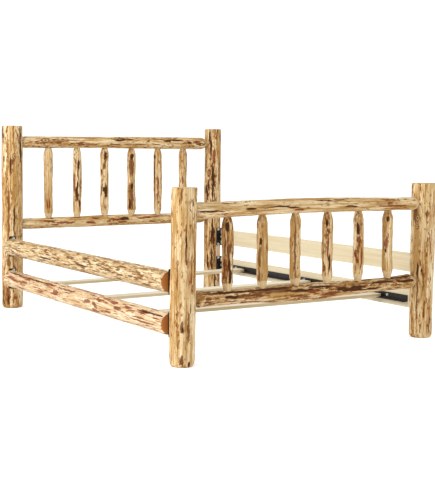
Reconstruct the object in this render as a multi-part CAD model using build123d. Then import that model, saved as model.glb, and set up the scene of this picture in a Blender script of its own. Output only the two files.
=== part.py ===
from build123d import *
from dataclasses import dataclass
import math
import os

# Queen-size log bed, in millimetres. X runs across the bed, +Y points to the headboard, +Z is up.
# The origin is on the floor, under the middle of the bed.

# ---- Overall frame -------------------------------------------------------------------------------
POST_PITCH_X = 1549.0          # between post axes, side to side
POST_PITCH_Y = 2210.0          # between post axes, footboard to headboard
HEAD_POST_HEIGHT = 1194.0
FOOT_POST_HEIGHT = 864.0
POST_RADIUS = 64.0             # nominal, where tenons and brackets are set out from
POST_FOOT_CHAMFER = 12.0
POST_TOP_CHAMFER = 5.0

# ---- Headboard and footboard ---------------------------------------------------------------------
HEAD_TOP_RAIL_DROP = 106.0     # post top down to the rail's axis
HEAD_BOTTOM_RAIL_Z = 548.0
FOOT_TOP_RAIL_DROP = 113.0
FOOT_BOTTOM_RAIL_Z = 318.0
HEAD_TOP_RAIL_RADIUS = 39.5
HEAD_BOTTOM_RAIL_RADIUS = 34.5
FOOT_TOP_RAIL_RADIUS = 40.0
FOOT_BOTTOM_RAIL_RADIUS = 38.5
SPINDLE_COUNT = 6
SPINDLE_END_GAP = 252.0        # post axis to the nearest spindle's axis
SPINDLE_RADIUS = 28.5

# ---- Round tenons --------------------------------------------------------------------------------
RAIL_TENON_RADIUS = 22.0
RAIL_TENON_STOP = 12.0         # from the post's axis to the tenon's end
RAIL_SHOULDER_LENGTH = 54.0
RAIL_SHOULDER_FULLNESS = 1.2
SHOULDER_SUNK = 24.0           # how deep a shoulder goes into its post, where it is driven in
SPINDLE_TENON_RADIUS = 19.0
SPINDLE_TENON_LENGTH = 28.0
SPINDLE_SHOULDER_LENGTH = 44.0
TENON_CLEARANCE = 0.3          # all round
MORTISE_FLOOR_GAP = 2.0
TENON_TIP_CHAMFER = 2.0
SEAM_TURN = 35.0               # degrees, keeps a hole's seam off the seam of the log it is bored in
TRUED_MARGIN = 6.0             # a log is dressed to a true cylinder this far past what is bored in it
LONGEST_FACET = 260.0          # between two sections of a log's tapered stretches

# ---- Side rails ----------------------------------------------------------------------------------
SIDE_LOG_RADIUS = 57.0
SIDE_RAIL_DEPTH = 55.0         # from the sawn face to the round back
SIDE_RAIL_OFFSET = 38.0        # sawn face, outboard of the post's axis
UPPER_SIDE_RAIL_Z = 405.0
LOWER_SIDE_RAIL_Z = 198.0
SIDE_RAIL_END_GAP = 5.0        # between a rail's end and the bracket
SIDE_RAIL_END_CHAMFER = 4.0

# ---- Steel ---------------------------------------------------------------------------------------
STEEL_THICKNESS = 4.8
BEND_RADIUS = 8.0              # outside of a bend
BRACKET_HEIGHT = 127.0
BRACKET_WIDTH = 46.0           # of the plate on the post
BRACKET_OVERHANG = 12.0        # plate's outer edge, outboard of the side rail's sawn face
BRACKET_CORNER_RADIUS = 2.0
TONGUE_LENGTH = 76.0           # along the side rail, from the post's flat
TONGUE_HEIGHT = 50.0
TONGUE_TIP_RADIUS = 10.0
POST_FLAT_DEPTH = 12.0         # cut in from the post's nominal surface, where a bracket is bolted
POST_FLAT_MARGIN = 6.0         # flat past the outer brackets, along the post
LEDGER_END_GAP = 19.0          # between a ledger's end and the bracket's tongue
LEDGER_LEG = 38.0
LEDGER_TOP_Z = 213.0
LEDGER_HEAD_INSET = 128.0      # ledger's end to its first bolt, at the headboard's end
LEDGER_FOOT_INSET = 168.0      # and at the footboard's end
LEDGER_BOLT_COUNT = 3

# ---- Lag bolts -----------------------------------------------------------------------------------
BOLT_SHANK_RADIUS = 4.75
BOLT_HEAD_FLATS = 14.3
BOLT_HEAD_HEIGHT = 5.4
BOLT_FLANGE_RADIUS = 9.5
BOLT_FLANGE_THICKNESS = 1.6
POST_BOLT_LENGTH = 76.0
RAIL_BOLT_COVER = 12.0         # wood left past the tip of a bolt in a side rail
STEEL_HOLE_RADIUS = 5.5
PILOT_HOLE_RADIUS = 4.9
BRACKET_BOLT_EDGE = 10.0       # post bolt to the bracket's top and bottom edges
TONGUE_BOLT_SPREAD = 34.0      # between the two rail bolts of a bracket

# ---- Slats ---------------------------------------------------------------------------------------
SLAT_WIDTH = 89.0
SLAT_THICKNESS = 19.0
SLAT_END_CLEARANCE = 3.0       # slat end to the ledger's bolt heads
SLAT_EDGE_RADIUS = 2.5
SLAT_LAYOUT = ((-96.0, 1.7), (-37.0, 0.0), (114.0, -1.85))   # head to foot: past its ledger bolt, turn

# ---- Worked out from the above -------------------------------------------------------------------
HALF_X = POST_PITCH_X / 2
HALF_Y = POST_PITCH_Y / 2
SIDE_FACE_X = HALF_X + SIDE_RAIL_OFFSET
POST_FLAT_SEAT = POST_RADIUS - POST_FLAT_DEPTH                         # post's axis to its flat
SPINDLE_PITCH = (POST_PITCH_X - 2 * SPINDLE_END_GAP) / (SPINDLE_COUNT - 1)
RAIL_LENGTH = POST_PITCH_X - 2 * RAIL_TENON_STOP
SIDE_RAIL_END = POST_FLAT_SEAT + STEEL_THICKNESS + SIDE_RAIL_END_GAP   # post's axis to a rail's end
SIDE_RAIL_LENGTH = POST_PITCH_Y - 2 * SIDE_RAIL_END
LEDGER_LENGTH = POST_PITCH_Y - 2 * (POST_FLAT_SEAT + TONGUE_LENGTH + LEDGER_END_GAP)
LEDGER_SEAT_Z = LEDGER_TOP_Z - LEDGER_LEG + STEEL_THICKNESS
RAIL_BOLT_LENGTH = SIDE_RAIL_DEPTH + STEEL_THICKNESS - RAIL_BOLT_COVER
BOLT_STAND = BOLT_FLANGE_THICKNESS + BOLT_HEAD_HEIGHT                  # a bolt head, off the steel
SLAT_LENGTH = 2 * (SIDE_FACE_X - STEEL_THICKNESS - BOLT_STAND - SLAT_END_CLEARANCE)


@dataclass(frozen=True)
class Log:
    """A hand-peeled log along +Z, butt end at Z = 0, with its own taper, bow, lean and swellings."""

    length: float
    butt: float                  # radius at the butt
    tip: float                   # radius at the other end
    bow: float = 0.0             # how far the heart strays along local X at mid length
    lean: tuple = (0.0, 0.0)     # the heart's offset along local X at the butt and at the tip
    swell: float = 0.8           # height of the swellings that a drawknife leaves
    phase: float = 0.0           # where the swellings fall, in turns
    trued: tuple = ()            # stretches dressed to a true cylinder, because the log is bored there

    def share(self, z: float) -> float:
        """The share of the length whose shape the log has at z: one for all of a trued stretch."""
        for start, end in self.trued:
            if start <= z <= end:
                z = (start + end) / 2
        return z / self.length

    def radius(self, z: float) -> float:
        """The log's radius at a height along it."""
        share = self.share(z)
        taper = self.butt + (self.tip - self.butt) * share
        return taper + self.swell * math.sin(2 * math.pi * (1.6 * share + self.phase))

    def heart(self, z: float) -> float:
        """The heart's offset along local X at a height along the log."""
        share = self.share(z)
        return self.bow * math.sin(math.pi * share) ** 2 + self.lean[0] + (self.lean[1] - self.lean[0]) * share

    def section(self, z: float, cut: float = 0.0) -> Sketch:
        """The log's round section at a height, with its radius cut back by an amount."""
        return Pos(self.heart(z), 0, z) * Circle(self.radius(z) - cut)

    def tapered(self, start: float, end: float) -> list:
        """Sections of a tapered stretch, after its start and up to its end."""
        count = math.ceil((end - start) / LONGEST_FACET)
        return [self.section(start + (end - start) * i / count) for i in range(1, count + 1)]

    def body(self, butt_end: list, tip_end: list) -> Part:
        """The whole log, given the sections of its two worked ends, in order along +Z."""
        start, finish = butt_end[-1].center().Z, tip_end[0].center().Z
        parts, sections = [], butt_end
        for low, high in self.trued:
            parts.append(loft(sections + self.tapered(start, low), ruled=True))
            parts.append(extrude(self.section(low), high - low))
            start, sections = high, [self.section(high)]
        parts.append(loft(sections + self.tapered(start, finish)[:-1] + tip_end, ruled=True))
        return Part() + parts


@dataclass(frozen=True)
class Tenon:
    """A round tenon at the end of a log, and the rounded or straight shoulder that widens it to the log."""

    radius: float
    length: float
    shoulder: float              # length of the shoulder along the log
    fullness: float = 0.0        # how far the shoulder's middle stands out of a straight cone, as a share

    @property
    def reach(self) -> float:
        """From the tenon's tip to where the shoulder meets the log."""
        return self.length + self.shoulder

    def width(self, past_root: float, widest: float) -> float:
        """The shoulder's radius at a distance past the tenon's root, for a log of the given radius."""
        share = past_root / self.shoulder
        return self.radius + (widest - self.radius) * (share + self.fullness * share * (1 - share))

    def stops(self, widest: float) -> list:
        """Depth from the tip and radius, at each turn of the outline up to the log itself."""
        stops = [(0.0, self.radius - TENON_TIP_CHAMFER), (TENON_TIP_CHAMFER, self.radius), (self.length, self.radius)]
        if self.fullness:
            stops.append((self.length + self.shoulder / 2, self.width(self.shoulder / 2, widest)))
        return [*stops, (self.reach, widest)]

    def bore(self) -> Part:
        """A plain drilled hole for the tenon, along +Z from its floor and out past the shoulder."""
        depth = self.reach + MORTISE_FLOOR_GAP
        hole = Cylinder(self.radius + TENON_CLEARANCE, depth, align=(Align.CENTER, Align.CENTER, Align.MIN))
        return Pos(0, 0, -MORTISE_FLOOR_GAP) * Rot(Z=SEAM_TURN) * hole

    def counterbore(self, sunk: float, widest: float) -> Part:
        """The wider mouth for a shoulder that is driven in, from the tenon's root outwards."""
        mouth = self.width(sunk, widest) + TENON_CLEARANCE
        hole = Cylinder(mouth, self.shoulder, align=(Align.CENTER, Align.CENTER, Align.MIN))
        return Pos(0, 0, self.length - TENON_CLEARANCE) * Rot(Z=SEAM_TURN) * hole


def tenoned_log(log: Log, near: Tenon, far: Tenon) -> Part:
    """A log worked down to a tenon at each end, both on the line between the ends."""
    ends = []
    for tenon, tip, inwards in ((near, 0.0, 1), (far, log.length, -1)):
        stops = tenon.stops(log.radius(tip + inwards * tenon.reach))
        ends.append([Pos(0, 0, tip + inwards * depth) * Circle(radius) for depth, radius in stops])
    return log.body(ends[0], ends[1][::-1])


def sawn_log(log: Log, butt_chamfer: float, tip_chamfer: float) -> Part:
    """A log sawn square at both ends, their edges eased."""
    butt_end = [log.section(0, butt_chamfer), log.section(butt_chamfer)]
    tip_end = [log.section(log.length - tip_chamfer), log.section(log.length, tip_chamfer)]
    return log.body(butt_end, tip_end)


# ---- The logs ------------------------------------------------------------------------------------
HEAD_TOP_RAIL_Z = HEAD_POST_HEIGHT - HEAD_TOP_RAIL_DROP
FOOT_TOP_RAIL_Z = FOOT_POST_HEIGHT - FOOT_TOP_RAIL_DROP

BOARDS = {
    "head": (HALF_Y, HEAD_TOP_RAIL_Z, HEAD_BOTTOM_RAIL_Z, HEAD_POST_HEIGHT),
    "foot": (-HALF_Y, FOOT_TOP_RAIL_Z, FOOT_BOTTOM_RAIL_Z, FOOT_POST_HEIGHT),
}
SIDES = {"left": -1, "right": 1}
SIDE_RAIL_Z = {"upper": UPPER_SIDE_RAIL_Z, "lower": LOWER_SIDE_RAIL_Z}
FLAT_LOW = min(SIDE_RAIL_Z.values()) - BRACKET_HEIGHT / 2 - POST_FLAT_MARGIN
FLAT_HIGH = max(SIDE_RAIL_Z.values()) + BRACKET_HEIGHT / 2 + POST_FLAT_MARGIN


def spindle_x(index: int) -> float:
    """Where a spindle stands across the bed."""
    return (index - (SPINDLE_COUNT - 1) / 2) * SPINDLE_PITCH


def joined(stretches: list) -> tuple:
    """Stretches of a log in order, those that meet made one."""
    result = []
    for low, high in sorted(stretches):
        if result and low <= result[-1][1]:
            low, high = result[-1][0], max(high, result.pop()[1])
        result.append((low, high))
    return tuple(result)


def post_log(board: str, **shape: float) -> Log:
    """A post, trued where its rails and brackets go in."""
    y, top_z, bottom_z, height = BOARDS[board]
    reach = max(HEAD_TOP_RAIL_RADIUS, FOOT_TOP_RAIL_RADIUS) + TRUED_MARGIN
    stretches = [(z - reach, z + reach) for z in (bottom_z, top_z)]
    return Log(height, trued=joined([*stretches, (FLAT_LOW - TRUED_MARGIN, FLAT_HIGH + TRUED_MARGIN)]), **shape)


def rail_log(**shape: float) -> Log:
    """A cross rail, trued where its spindles go in."""
    reach = SPINDLE_TENON_RADIUS + TRUED_MARGIN
    middles = [spindle_x(i) + RAIL_LENGTH / 2 for i in range(SPINDLE_COUNT)]
    return Log(RAIL_LENGTH, trued=joined([(middle - reach, middle + reach) for middle in middles]), **shape)


POSTS = {
    ("head", "left"): post_log("head", butt=POST_RADIUS + 6, tip=POST_RADIUS + 4.5, lean=(-6, -2), phase=0.1),
    ("head", "right"): post_log("head", butt=POST_RADIUS - 1.5, tip=POST_RADIUS - 2.5, lean=(-2, 4), phase=0.45),
    ("foot", "left"): post_log("foot", butt=POST_RADIUS - 1, tip=POST_RADIUS, lean=(-7, 5), phase=0.7),
    ("foot", "right"): post_log("foot", butt=POST_RADIUS + 1, tip=POST_RADIUS + 7.2, lean=(0, 13), phase=0.25),
}
RAILS = {
    ("head", "top"): rail_log(butt=HEAD_TOP_RAIL_RADIUS - 2.5, tip=HEAD_TOP_RAIL_RADIUS + 2.5, bow=2, phase=0.2),
    ("head", "bottom"): rail_log(butt=HEAD_BOTTOM_RAIL_RADIUS - 0.5, tip=HEAD_BOTTOM_RAIL_RADIUS + 1, bow=2, phase=0.6),
    ("foot", "top"): rail_log(butt=FOOT_TOP_RAIL_RADIUS + 2.5, tip=FOOT_TOP_RAIL_RADIUS - 2, bow=8, phase=0.35),
    ("foot", "bottom"): rail_log(butt=FOOT_BOTTOM_RAIL_RADIUS + 1, tip=FOOT_BOTTOM_RAIL_RADIUS - 1, bow=-9,
                                 swell=2.5, phase=0.5),
}
SUNK_ENDS = {("head", "top", "left"), ("head", "bottom", "left"), ("foot", "top", "left"), ("foot", "top", "right")}
SPINDLE_TENON = Tenon(SPINDLE_TENON_RADIUS, SPINDLE_TENON_LENGTH, SPINDLE_SHOULDER_LENGTH)


def rail_z(board: str, level: str) -> float:
    """The height of a cross rail's ends."""
    return BOARDS[board][1 if level == "top" else 2]


def rail_tenon(board: str, level: str, side: str) -> Tenon:
    """A cross rail's tenon, whose shoulder stops at the surface of its own post or is driven into it."""
    post, z = POSTS[board, side], rail_z(board, level)
    surface = post.radius(z) - SIDES[side] * post.heart(z)
    start = surface - SHOULDER_SUNK if (board, level, side) in SUNK_ENDS else surface + TENON_CLEARANCE
    return Tenon(RAIL_TENON_RADIUS, start - RAIL_TENON_STOP, RAIL_SHOULDER_LENGTH, RAIL_SHOULDER_FULLNESS)


def along_x(y: float, z: float) -> Location:
    """Where a cross rail lies: its length along +X, its local X up."""
    return Plane((-RAIL_LENGTH / 2, y, z), x_dir=(0, 0, 1), z_dir=(1, 0, 0)).location


def spindle_ends(board: str, index: int) -> tuple:
    """Heights of a spindle's two tenon tips, so that its shoulders stand on the bowed and tapered rails."""
    along = spindle_x(index) + RAIL_LENGTH / 2
    lower, upper = RAILS[board, "bottom"], RAILS[board, "top"]
    low = rail_z(board, "bottom") + lower.heart(along) + lower.radius(along) + TENON_CLEARANCE
    high = rail_z(board, "top") + upper.heart(along) - upper.radius(along) - TENON_CLEARANCE
    return low - SPINDLE_TENON_LENGTH, high + SPINDLE_TENON_LENGTH


def make_rail(board: str, level: str) -> Part:
    """A cross rail with its two tenons and a drilled hole for each spindle."""
    y = BOARDS[board][0]
    tenons = [rail_tenon(board, level, side) for side in SIDES]
    rail = along_x(y, rail_z(board, level)) * tenoned_log(RAILS[board, level], *tenons)
    for i in range(SPINDLE_COUNT):
        low, high = spindle_ends(board, i)
        place = Pos(spindle_x(i), y, high) * Rot(X=180) if level == "top" else Pos(spindle_x(i), y, low)
        rail -= place * SPINDLE_TENON.bore()
    return rail


def make_spindle(board: str, index: int) -> Part:
    """A spindle, tenoned into the board's two rails. Each has its own taper, bow and swellings."""
    low, high = spindle_ends(board, index)
    turn = 0.37 * index + (0.15 if board == "foot" else 0.0)
    taper = 0.8 * math.cos(9 * turn)
    log = Log(high - low, SPINDLE_RADIUS - taper, SPINDLE_RADIUS + taper, bow=3 * math.sin(5 * turn), phase=turn)
    return Pos(spindle_x(index), BOARDS[board][0], low) * tenoned_log(log, SPINDLE_TENON, SPINDLE_TENON)


def flat_side(board: str) -> int:
    """Which way along Y the posts of a board face the side rails."""
    return -1 if board == "head" else 1


def bracket_bolt_x(side: str) -> float:
    """The post bolts' place across the bed, midway between the plate's inner edge and its tongue."""
    return SIDES[side] * (SIDE_FACE_X - (BRACKET_WIDTH - BRACKET_OVERHANG + STEEL_THICKNESS) / 2)


def tongue_bolt_ys(board: str) -> list:
    """The rail bolts' two places along the bed, about the middle of the tongue's stretch on the rail."""
    middle = (SIDE_RAIL_END + POST_FLAT_SEAT + TONGUE_LENGTH) / 2
    return [BOARDS[board][0] + flat_side(board) * (middle + half) for half in (-TONGUE_BOLT_SPREAD / 2, TONGUE_BOLT_SPREAD / 2)]


def post_bolt_heights(level: str) -> tuple:
    """Heights of the two bolts that hold a bracket to its post."""
    reach = BRACKET_HEIGHT / 2 - BRACKET_BOLT_EDGE
    return SIDE_RAIL_Z[level] - reach, SIDE_RAIL_Z[level] + reach


def ledger_bolt_ys() -> list:
    """The ledger bolts' places along the bed, from the head to the foot."""
    first = LEDGER_LENGTH / 2 - LEDGER_HEAD_INSET
    last = LEDGER_FOOT_INSET - LEDGER_LENGTH / 2
    return [first + (last - first) * i / (LEDGER_BOLT_COUNT - 1) for i in range(LEDGER_BOLT_COUNT)]


def ledger_bolt_z() -> float:
    """The ledger bolts' height, on the middle of the upright leg."""
    return LEDGER_TOP_Z - (LEDGER_LEG - STEEL_THICKNESS) / 2


def facing(point: tuple, outward: tuple) -> Location:
    """A place on a steel face, with local +Z pointing out of the face."""
    return Plane(point, z_dir=outward).location


def post_bolt_places() -> list:
    """Where the bolts that hold the brackets to the posts sit, heads out."""
    places = []
    for board in BOARDS:
        y = BOARDS[board][0] + flat_side(board) * (POST_FLAT_SEAT + STEEL_THICKNESS)
        for side in SIDES:
            for level in SIDE_RAIL_Z:
                for z in post_bolt_heights(level):
                    places.append(facing((bracket_bolt_x(side), y, z), (0, flat_side(board), 0)))
    return places


def rail_bolt_places(side: str, level: str) -> list:
    """Where the bolts that hold the brackets to one side rail sit, heads out."""
    x = SIDES[side] * (SIDE_FACE_X - STEEL_THICKNESS)
    return [facing((x, y, SIDE_RAIL_Z[level]), (-SIDES[side], 0, 0))
            for board in BOARDS for y in tongue_bolt_ys(board)]


def ledger_bolt_places(side: str) -> list:
    """Where the bolts that hold one ledger sit, heads out."""
    x = SIDES[side] * (SIDE_FACE_X - STEEL_THICKNESS)
    return [facing((x, y, ledger_bolt_z()), (-SIDES[side], 0, 0)) for y in ledger_bolt_ys()]


def drill(radius: float, depth: float) -> Part:
    """A drill that goes the given depth below a face and clears it above."""
    return Pos(0, 0, -depth / 2) * Cylinder(radius, depth + 2 * STEEL_THICKNESS)


def lag_bolt(length: float) -> Part:
    """A plain hex lag bolt with a washer face under its head, which sits on local Z = 0."""
    flange = Pos(0, 0, BOLT_FLANGE_THICKNESS / 2) * Cylinder(BOLT_FLANGE_RADIUS, BOLT_FLANGE_THICKNESS)
    hexagon = RegularPolygon(BOLT_HEAD_FLATS / 2, 6, major_radius=False)
    head = extrude(Pos(0, 0, BOLT_FLANGE_THICKNESS) * hexagon, BOLT_HEAD_HEIGHT)
    shank = Pos(0, 0, -length / 2) * Cylinder(BOLT_SHANK_RADIUS, length)
    return flange + head + shank


def make_post(board: str, side: str) -> Part:
    """A post with its two rail holes, the flat for its two brackets and the bolts' pilot holes."""
    y = BOARDS[board][0]
    post = Pos(SIDES[side] * HALF_X, y, 0) * sawn_log(POSTS[board, side], POST_FOOT_CHAMFER, POST_TOP_CHAMFER)
    for level in ("top", "bottom"):
        tenon = rail_tenon(board, level, side)
        hole = tenon.bore()
        if (board, level, side) in SUNK_ENDS:
            log = RAILS[board, level]
            shoulder_end = tenon.reach if side == "left" else log.length - tenon.reach
            hole += tenon.counterbore(SHOULDER_SUNK, log.radius(shoulder_end))
        at_left = along_x(y, rail_z(board, level)) * hole
        post -= at_left if side == "left" else at_left.mirror(Plane.YZ)
    flat_y = y + flat_side(board) * (POST_FLAT_SEAT + POST_RADIUS / 2)
    flat = Box(4 * POST_RADIUS, POST_RADIUS, FLAT_HIGH - FLAT_LOW)
    post -= Pos(SIDES[side] * HALF_X, flat_y, (FLAT_LOW + FLAT_HIGH) / 2) * flat
    for place in post_bolt_places():
        if place.position.X * SIDES[side] > 0 and place.position.Y * y > 0:
            post -= place * drill(PILOT_HOLE_RADIUS, POST_BOLT_LENGTH + MORTISE_FLOOR_GAP)
    return post


def make_side_rail(side: str, level: str) -> Part:
    """A half log, round side out, with pilot holes in its sawn face."""
    out = SIDES[side]
    heart = (out * (SIDE_FACE_X + SIDE_RAIL_DEPTH - SIDE_LOG_RADIUS), SIDE_RAIL_Z[level])
    flat = SIDE_FACE_X - out * heart[0]
    section = Circle(SIDE_LOG_RADIUS) - Pos(flat - SIDE_LOG_RADIUS, 0) * Rectangle(2 * SIDE_LOG_RADIUS, 2 * SIDE_LOG_RADIUS)
    rail = extrude(section if out > 0 else section.mirror(Plane.YZ), SIDE_RAIL_LENGTH)
    rail = Plane((heart[0], SIDE_RAIL_LENGTH / 2, heart[1]), x_dir=(1, 0, 0), z_dir=(0, -1, 0)).location * rail
    rounds = rail.edges().filter_by(GeomType.CIRCLE)
    rail = chamfer(rounds, SIDE_RAIL_END_CHAMFER)
    places = rail_bolt_places(side, level) + (ledger_bolt_places(side) if level == "lower" else [])
    for place in places:
        rail -= place * drill(PILOT_HOLE_RADIUS, RAIL_BOLT_LENGTH + MORTISE_FLOOR_GAP)
    return rail


def angle_section(across: float, up: float) -> Sketch:
    """Section of an angle iron: its outer corner at the origin, its legs along +X and +Y."""
    web = STEEL_THICKNESS
    section = make_face(Polyline((0, 0), (across, 0), (across, web), (web, web), (web, up), (0, up),
                                 close=True))
    for corner, radius in ((web, BEND_RADIUS - web), (0, BEND_RADIUS)):
        section = fillet(section.vertices().sort_by_distance((corner, corner, 0))[0], radius)
    return section


def bracket_blank() -> Part:
    """A plate with its back on Y = 0, and a tongue welded square on it with its rail side on X = 0."""
    plate = Box(BRACKET_WIDTH, STEEL_THICKNESS, BRACKET_HEIGHT)
    plate = fillet(plate.edges().filter_by(Axis.Y), BRACKET_CORNER_RADIUS)
    tongue = Box(STEEL_THICKNESS, TONGUE_LENGTH, TONGUE_HEIGHT)
    tongue = fillet(tongue.edges().filter_by(Axis.X).sort_by(Axis.Y)[-2:], TONGUE_TIP_RADIUS)
    plate = Pos(BRACKET_WIDTH / 2 - BRACKET_OVERHANG, STEEL_THICKNESS / 2, 0) * plate
    return plate + Pos(STEEL_THICKNESS / 2, TONGUE_LENGTH / 2, 0) * tongue


def make_bracket(board: str, side: str, level: str) -> Part:
    """A bracket in the corner between a post's flat and a side rail's sawn face."""
    out, along = SIDES[side], flat_side(board)
    blank = bracket_blank()
    if out > 0:
        blank = blank.mirror(Plane.YZ)
    if along < 0:
        blank = blank.mirror(Plane.XZ)
    corner_y = BOARDS[board][0] + along * POST_FLAT_SEAT
    bracket = Pos(out * SIDE_FACE_X, corner_y, SIDE_RAIL_Z[level]) * blank
    for place in post_bolt_places() + rail_bolt_places(side, level):
        if (place.position - bracket.center()).length < BRACKET_HEIGHT:
            bracket -= place * drill(STEEL_HOLE_RADIUS, STEEL_THICKNESS)
    return bracket


def make_ledger(side: str) -> Part:
    """The angle iron on a lower side rail, whose inward leg carries the slats."""
    out = SIDES[side]
    blank = extrude(angle_section(LEDGER_LEG, LEDGER_LEG), LEDGER_LENGTH)
    start = Plane((out * SIDE_FACE_X, -out * LEDGER_LENGTH / 2, LEDGER_TOP_Z - LEDGER_LEG),
                  x_dir=(-out, 0, 0), z_dir=(0, out, 0)).location
    ledger = start * blank
    for place in ledger_bolt_places(side):
        ledger -= place * drill(STEEL_HOLE_RADIUS, STEEL_THICKNESS)
    return ledger


def make_slat(y: float, turn: float) -> Part:
    """A sawn board with eased edges, laid loose on the two ledgers."""
    board = Box(SLAT_LENGTH, SLAT_WIDTH, SLAT_THICKNESS)
    board = fillet(board.edges().filter_by(Axis.X), SLAT_EDGE_RADIUS)
    return Pos(0, y, LEDGER_SEAT_Z + SLAT_THICKNESS / 2) * Rot(Z=turn) * board


def bolts(places: list, length: float) -> Compound:
    """A group of separate bolts of one length."""
    return Compound(children=[place * lag_bolt(length) for place in places])


def bed_parts() -> dict:
    """Every piece of the bed, by its node's name."""
    parts = {}
    for board in BOARDS:
        for side in SIDES:
            parts[f"{board}_post_{side}"] = make_post(board, side)
        for level in ("top", "bottom"):
            parts[f"{board}_{level}_rail"] = make_rail(board, level)
        for i in range(SPINDLE_COUNT):
            parts[f"{board}_spindle_{i + 1}"] = make_spindle(board, i)
    for side in SIDES:
        for level in SIDE_RAIL_Z:
            parts[f"{side}_{level}_side_rail"] = make_side_rail(side, level)
            for board in BOARDS:
                parts[f"{board}_{side}_{level}_bracket"] = make_bracket(board, side, level)
        parts[f"{side}_ledger"] = make_ledger(side)
    for i, (bolt_y, (past, turn)) in enumerate(zip(ledger_bolt_ys(), SLAT_LAYOUT)):
        parts[f"slat_{i + 1}"] = make_slat(bolt_y + past, turn)
    parts["post_lag_bolts"] = bolts(post_bolt_places(), POST_BOLT_LENGTH)
    rail_places = [place for side in SIDES for level in SIDE_RAIL_Z for place in rail_bolt_places(side, level)]
    parts["rail_lag_bolts"] = bolts(rail_places, RAIL_BOLT_LENGTH)
    ledger_places = [place for side in SIDES for place in ledger_bolt_places(side)]
    parts["ledger_lag_bolts"] = bolts(ledger_places, RAIL_BOLT_LENGTH)
    return parts


os.makedirs("parts", exist_ok=True)
for node, shape in bed_parts().items():
    export_step(shape, f"parts/{node}.step")
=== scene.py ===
"""The rustic log bed, dressed for the camera: peeled logs, half logs, slats and steel."""
import logging
import math
from collections.abc import Callable, Iterator
from contextlib import contextmanager
from dataclasses import dataclass
from enum import Enum
from functools import partial
from typing import Any

import bpy
import numpy as np
from mathutils import Matrix, Vector


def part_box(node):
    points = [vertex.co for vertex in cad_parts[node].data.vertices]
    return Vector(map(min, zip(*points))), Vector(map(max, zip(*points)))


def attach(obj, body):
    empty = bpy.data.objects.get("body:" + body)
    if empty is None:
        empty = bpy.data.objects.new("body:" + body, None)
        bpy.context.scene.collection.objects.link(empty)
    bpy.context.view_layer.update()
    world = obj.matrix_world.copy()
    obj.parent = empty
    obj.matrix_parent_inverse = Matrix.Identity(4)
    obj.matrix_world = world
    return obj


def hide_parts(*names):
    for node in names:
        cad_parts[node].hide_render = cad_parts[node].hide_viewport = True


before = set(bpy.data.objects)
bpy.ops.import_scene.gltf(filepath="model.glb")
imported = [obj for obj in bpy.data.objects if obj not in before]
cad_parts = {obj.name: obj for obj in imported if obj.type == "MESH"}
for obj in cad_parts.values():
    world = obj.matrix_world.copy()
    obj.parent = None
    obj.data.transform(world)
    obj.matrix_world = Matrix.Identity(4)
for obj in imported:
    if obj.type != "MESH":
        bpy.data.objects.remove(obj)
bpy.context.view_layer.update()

LOG = logging.getLogger("log_bed")
BED = "bed_frame"

# Settings that many nodes share.
TIMES_PLUS = {"operation": "MULTIPLY_ADD"}
TIMES = {"operation": "MULTIPLY"}
MINUS = {"operation": "SUBTRACT"}
LENGTH = {"operation": "LENGTH"}
SMOOTH = {"interpolation_type": "SMOOTHSTEP"}
COLOURS = {"data_type": "RGBA"}


# ---- Colours and nodes ---------------------------------------------------------------------------
def linear(shade: Any) -> Any:
    """Turns an sRGB hex colour into the linear colour that a shader takes.

    Args:
        shade: The colour as "#RRGGBB". A socket or a linear colour is passed on as it is.

    Returns:
        Red, green, blue and alpha.
    """
    if not isinstance(shade, str):
        return shade
    parts = [int(shade[i:i + 2], 16) / 255 for i in (1, 3, 5)]
    return (*[c / 12.92 if c <= 0.04045 else ((c + 0.055) / 1.055) ** 2.4 for c in parts], 1.0)


def plug(tree: bpy.types.NodeTree, node: bpy.types.Node, inputs: Any) -> None:
    """Sets or links a node's inputs.

    Args:
        tree: The node tree it is in.
        node: The node.
        inputs: Values in the sockets' order, or by name or number. A node stands for its first output.
    """
    for socket, value in inputs.items() if isinstance(inputs, dict) else enumerate(inputs):
        if isinstance(value, bpy.types.Node):
            value = value.outputs[0]
        if isinstance(value, bpy.types.NodeSocket):
            tree.links.new(value, node.inputs[socket])
        else:
            node.inputs[socket].default_value = value


def add_node(tree: bpy.types.NodeTree, kind: str, inputs: Any = (),
             settings: dict[str, Any] | None = None) -> bpy.types.Node:
    """Adds a node with its settings, values and links.

    Args:
        tree: The node tree it goes in.
        kind: Blender's name for the node, after "ShaderNode".
        inputs: Its inputs, as plug takes them.
        settings: Its properties by name.

    Returns:
        The new node.
    """
    made = tree.nodes.new("ShaderNode" + kind)
    for name, value in (settings or {}).items():
        setattr(made, name, value)
    plug(tree, made, inputs)
    return made


def per_metre(across_mm: float, along_mm: float) -> tuple[float, float, float]:
    """The scale of a pattern whose marks are this wide and this long along the grain."""
    return (1000 / across_mm, 1000 / across_mm, 1000 / along_mm)


def set_ramp(ramp: bpy.types.Node, *stops: tuple[float, str, float]) -> bpy.types.Node:
    """Replaces a colour ramp's stops.

    Args:
        ramp: The Color Ramp node.
        stops: Each stop's place, colour and alpha.

    Returns:
        The same node.
    """
    elements = ramp.color_ramp.elements
    elements.remove(elements[-1])
    elements[0].position = stops[0][0]
    for number, (at, shade, share) in enumerate(stops):
        stop = elements.new(at) if number else elements[0]
        stop.color = (*linear(shade)[:3], share)
    return ramp


# ---- Finishes ------------------------------------------------------------------------------------
Adder = Callable[..., bpy.types.Node]
Surface = tuple[Any, list[tuple[Any, Any]], dict[str, Any]]


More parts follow.
